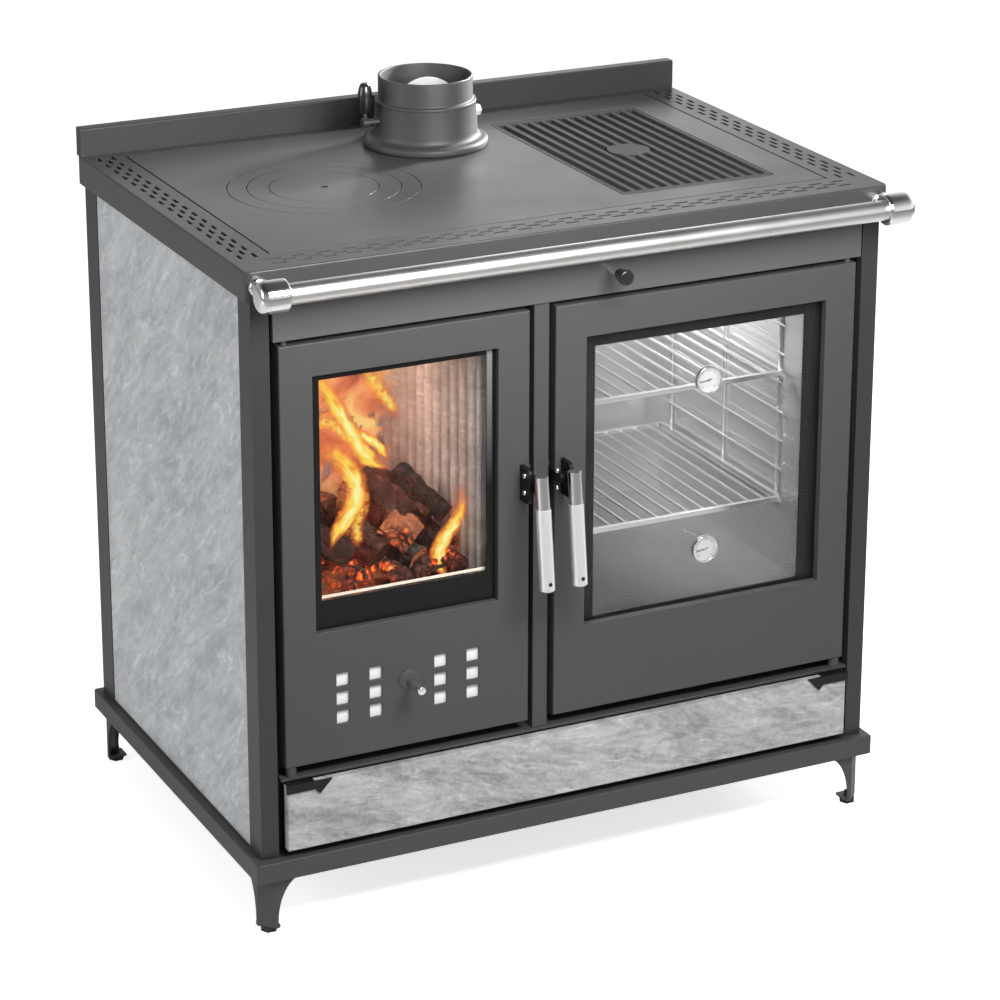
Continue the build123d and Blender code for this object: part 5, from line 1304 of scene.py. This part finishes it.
cloud_flame, tree, principled = new_material(
    "cloud_flame", Base_Color=(0, 0, 0, 1), Emission_Strength=1.0, Specular_IOR_Level=0.0,
)
skin = add(tree, "ShaderNodeGroup", {"Strength": 1.7}, node_tree=cloud_group).outputs
give(tree, principled, Emission_Color=skin["Colour"], Alpha=skin["Cover"])
cloud = flame("flame_cloud", [(-240, -20, 470), (-236, -20, 550), (-234, -20, 620), (-232, -20, 722)],
              (170, 180, 190, 200), cloud_flame)
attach(cloud, "carcass")
print("flames:", len(flames.data.polygons) + len(cloud.data.polygons), "faces")

# %% [markdown]
# ## Studio
# A pale floor runs out to a white backdrop. In a mirror the sky is white at the right-hand horizon and
# falls to grey overhead and to the left, so that chrome, glass and the hob have something to show. What
# lights the stove is a separate, plainer level. The floor lifts itself to white for the camera only, and
# keeps the stove's shadow.

# %% Sky and floor
sky = bpy.data.worlds.new("studio_sky")
bpy.context.scene.world = sky
sky.use_nodes = True
tree = sky.node_tree
tree.nodes.clear()
way = add(tree, "ShaderNodeTexCoord").outputs["Generated"]
parts = axes(tree, way)
overhead = spread(tree, parts["Z"], 0.3, 0.85)
to_the_right = spread(tree, parts["X"], -0.3, 0.8, 0.35, 1.0)
mirrored_colour = blend_colours(tree, overhead, (1, 1, 1, 1), (0.12, 0.12, 0.125, 1))
mirrored = add(tree, "ShaderNodeBackground", {"Color": mirrored_colour, "Strength": to_the_right})
lighting = add(tree, "ShaderNodeBackground", {"Color": (1, 1, 1, 1), "Strength": 0.3})
backdrop = add(tree, "ShaderNodeBackground", {"Color": (1, 1, 1, 1), "Strength": 1.0})
path = add(tree, "ShaderNodeLightPath").outputs
in_a_mirror = calc(tree, "MAXIMUM", path["Is Glossy Ray"], path["Is Transmission Ray"])
indirect = add(tree, "ShaderNodeMixShader", {0: in_a_mirror, 1: lighting.outputs[0], 2: mirrored.outputs[0]})
seen = path["Is Camera Ray"]
choice = add(tree, "ShaderNodeMixShader", {0: seen, 1: indirect.outputs[0], 2: backdrop.outputs[0]})
add(tree, "ShaderNodeOutputWorld", {0: choice.outputs[0]})

floor_paper, tree, principled = new_material(
    "floor_paper", Roughness=1.0, Specular_IOR_Level=0.0, Emission_Color=(1, 1, 1, 1),
)
mottle = grain_of(tree, object_coordinates(tree), 3.0, 4.0)
seen = add(tree, "ShaderNodeLightPath").outputs["Is Camera Ray"]
paper = blend_colours(tree, mottle, grey(0.9), grey(0.93))
give(tree, principled, Base_Color=paper, Emission_Strength=times(tree, seen, 0.72))
floor_mesh = bpy.data.meshes.new("studio_floor")
floor_mesh.from_pydata([(-40, -40, 0), (40, -40, 0), (40, 40, 0), (-40, 40, 0)], [], [(0, 1, 2, 3)])
floor_mesh.materials.append(floor_paper)
studio_floor = placed("studio_floor", floor_mesh)
print("sky", sky.name, "and floor", studio_floor.name)


# %% [markdown]
# **Lamps.** A large soft lamp in front lights the doors, one on the left the side stone, and one on the
# right the other side. A weak one behind puts a sheen on the hob, and a narrow one picks out the flue
# collar. The oven has a small lamp inside, and a point lamp in the firebox throws the fire's glow on the
# brick.


# %% Lamps
def lamp(name, place, aim, size, watts):
    """A soft square lamp that points at aim."""
    light = bpy.data.lights.new(name, "AREA")
    light.shape, light.size, light.energy = "SQUARE", size, watts
    made = placed(name, light)
    made.location = place
    made.rotation_euler = (Vector(aim) - Vector(place)).to_track_quat("-Z", "Y").to_euler()
    made.visible_camera = False
    return made


lamp("key_lamp", (-0.02, -1.22, 1.5), (-0.02, 0.5, 1.5), 0.7, 38)
lamp("side_lamp", (-3.4, 0.1, 1.5), (-0.4, 0, 0.45), 1.6, 40)
lamp("rear_lamp", (1.55, 2.7, 1.9), (0.0, 0.05, 0.86), 0.9, 4.2)
lamp("right_lamp", (2.6, 0.7, 1.25), (0.0, 0.17, 0.92), 0.7, 38)
flue_lamp = lamp("flue_lamp", (0.85, 0.42, 1.25), (0.0, 0.176, 0.925), 0.2, 0.9)
flue_lamp.data.spread = math.radians(20)
lamp("oven_lamp", (0.2, -0.02, 0.714), (0.37, 0.1, 0.45), 0.08, 1.2)
fire_glow = bpy.data.lights.new("fire_glow", "POINT")
fire_glow.energy, fire_glow.color, fire_glow.shadow_soft_size = 1.2, (1.0, 0.76, 0.64), 0.05
glow = placed("fire_glow", fire_glow)
glow.location, glow.visible_camera, glow.visible_transmission = (-0.25, -0.06, 0.62), False, False
glow.visible_glossy = False

print("lamps:", len(bpy.data.lights))
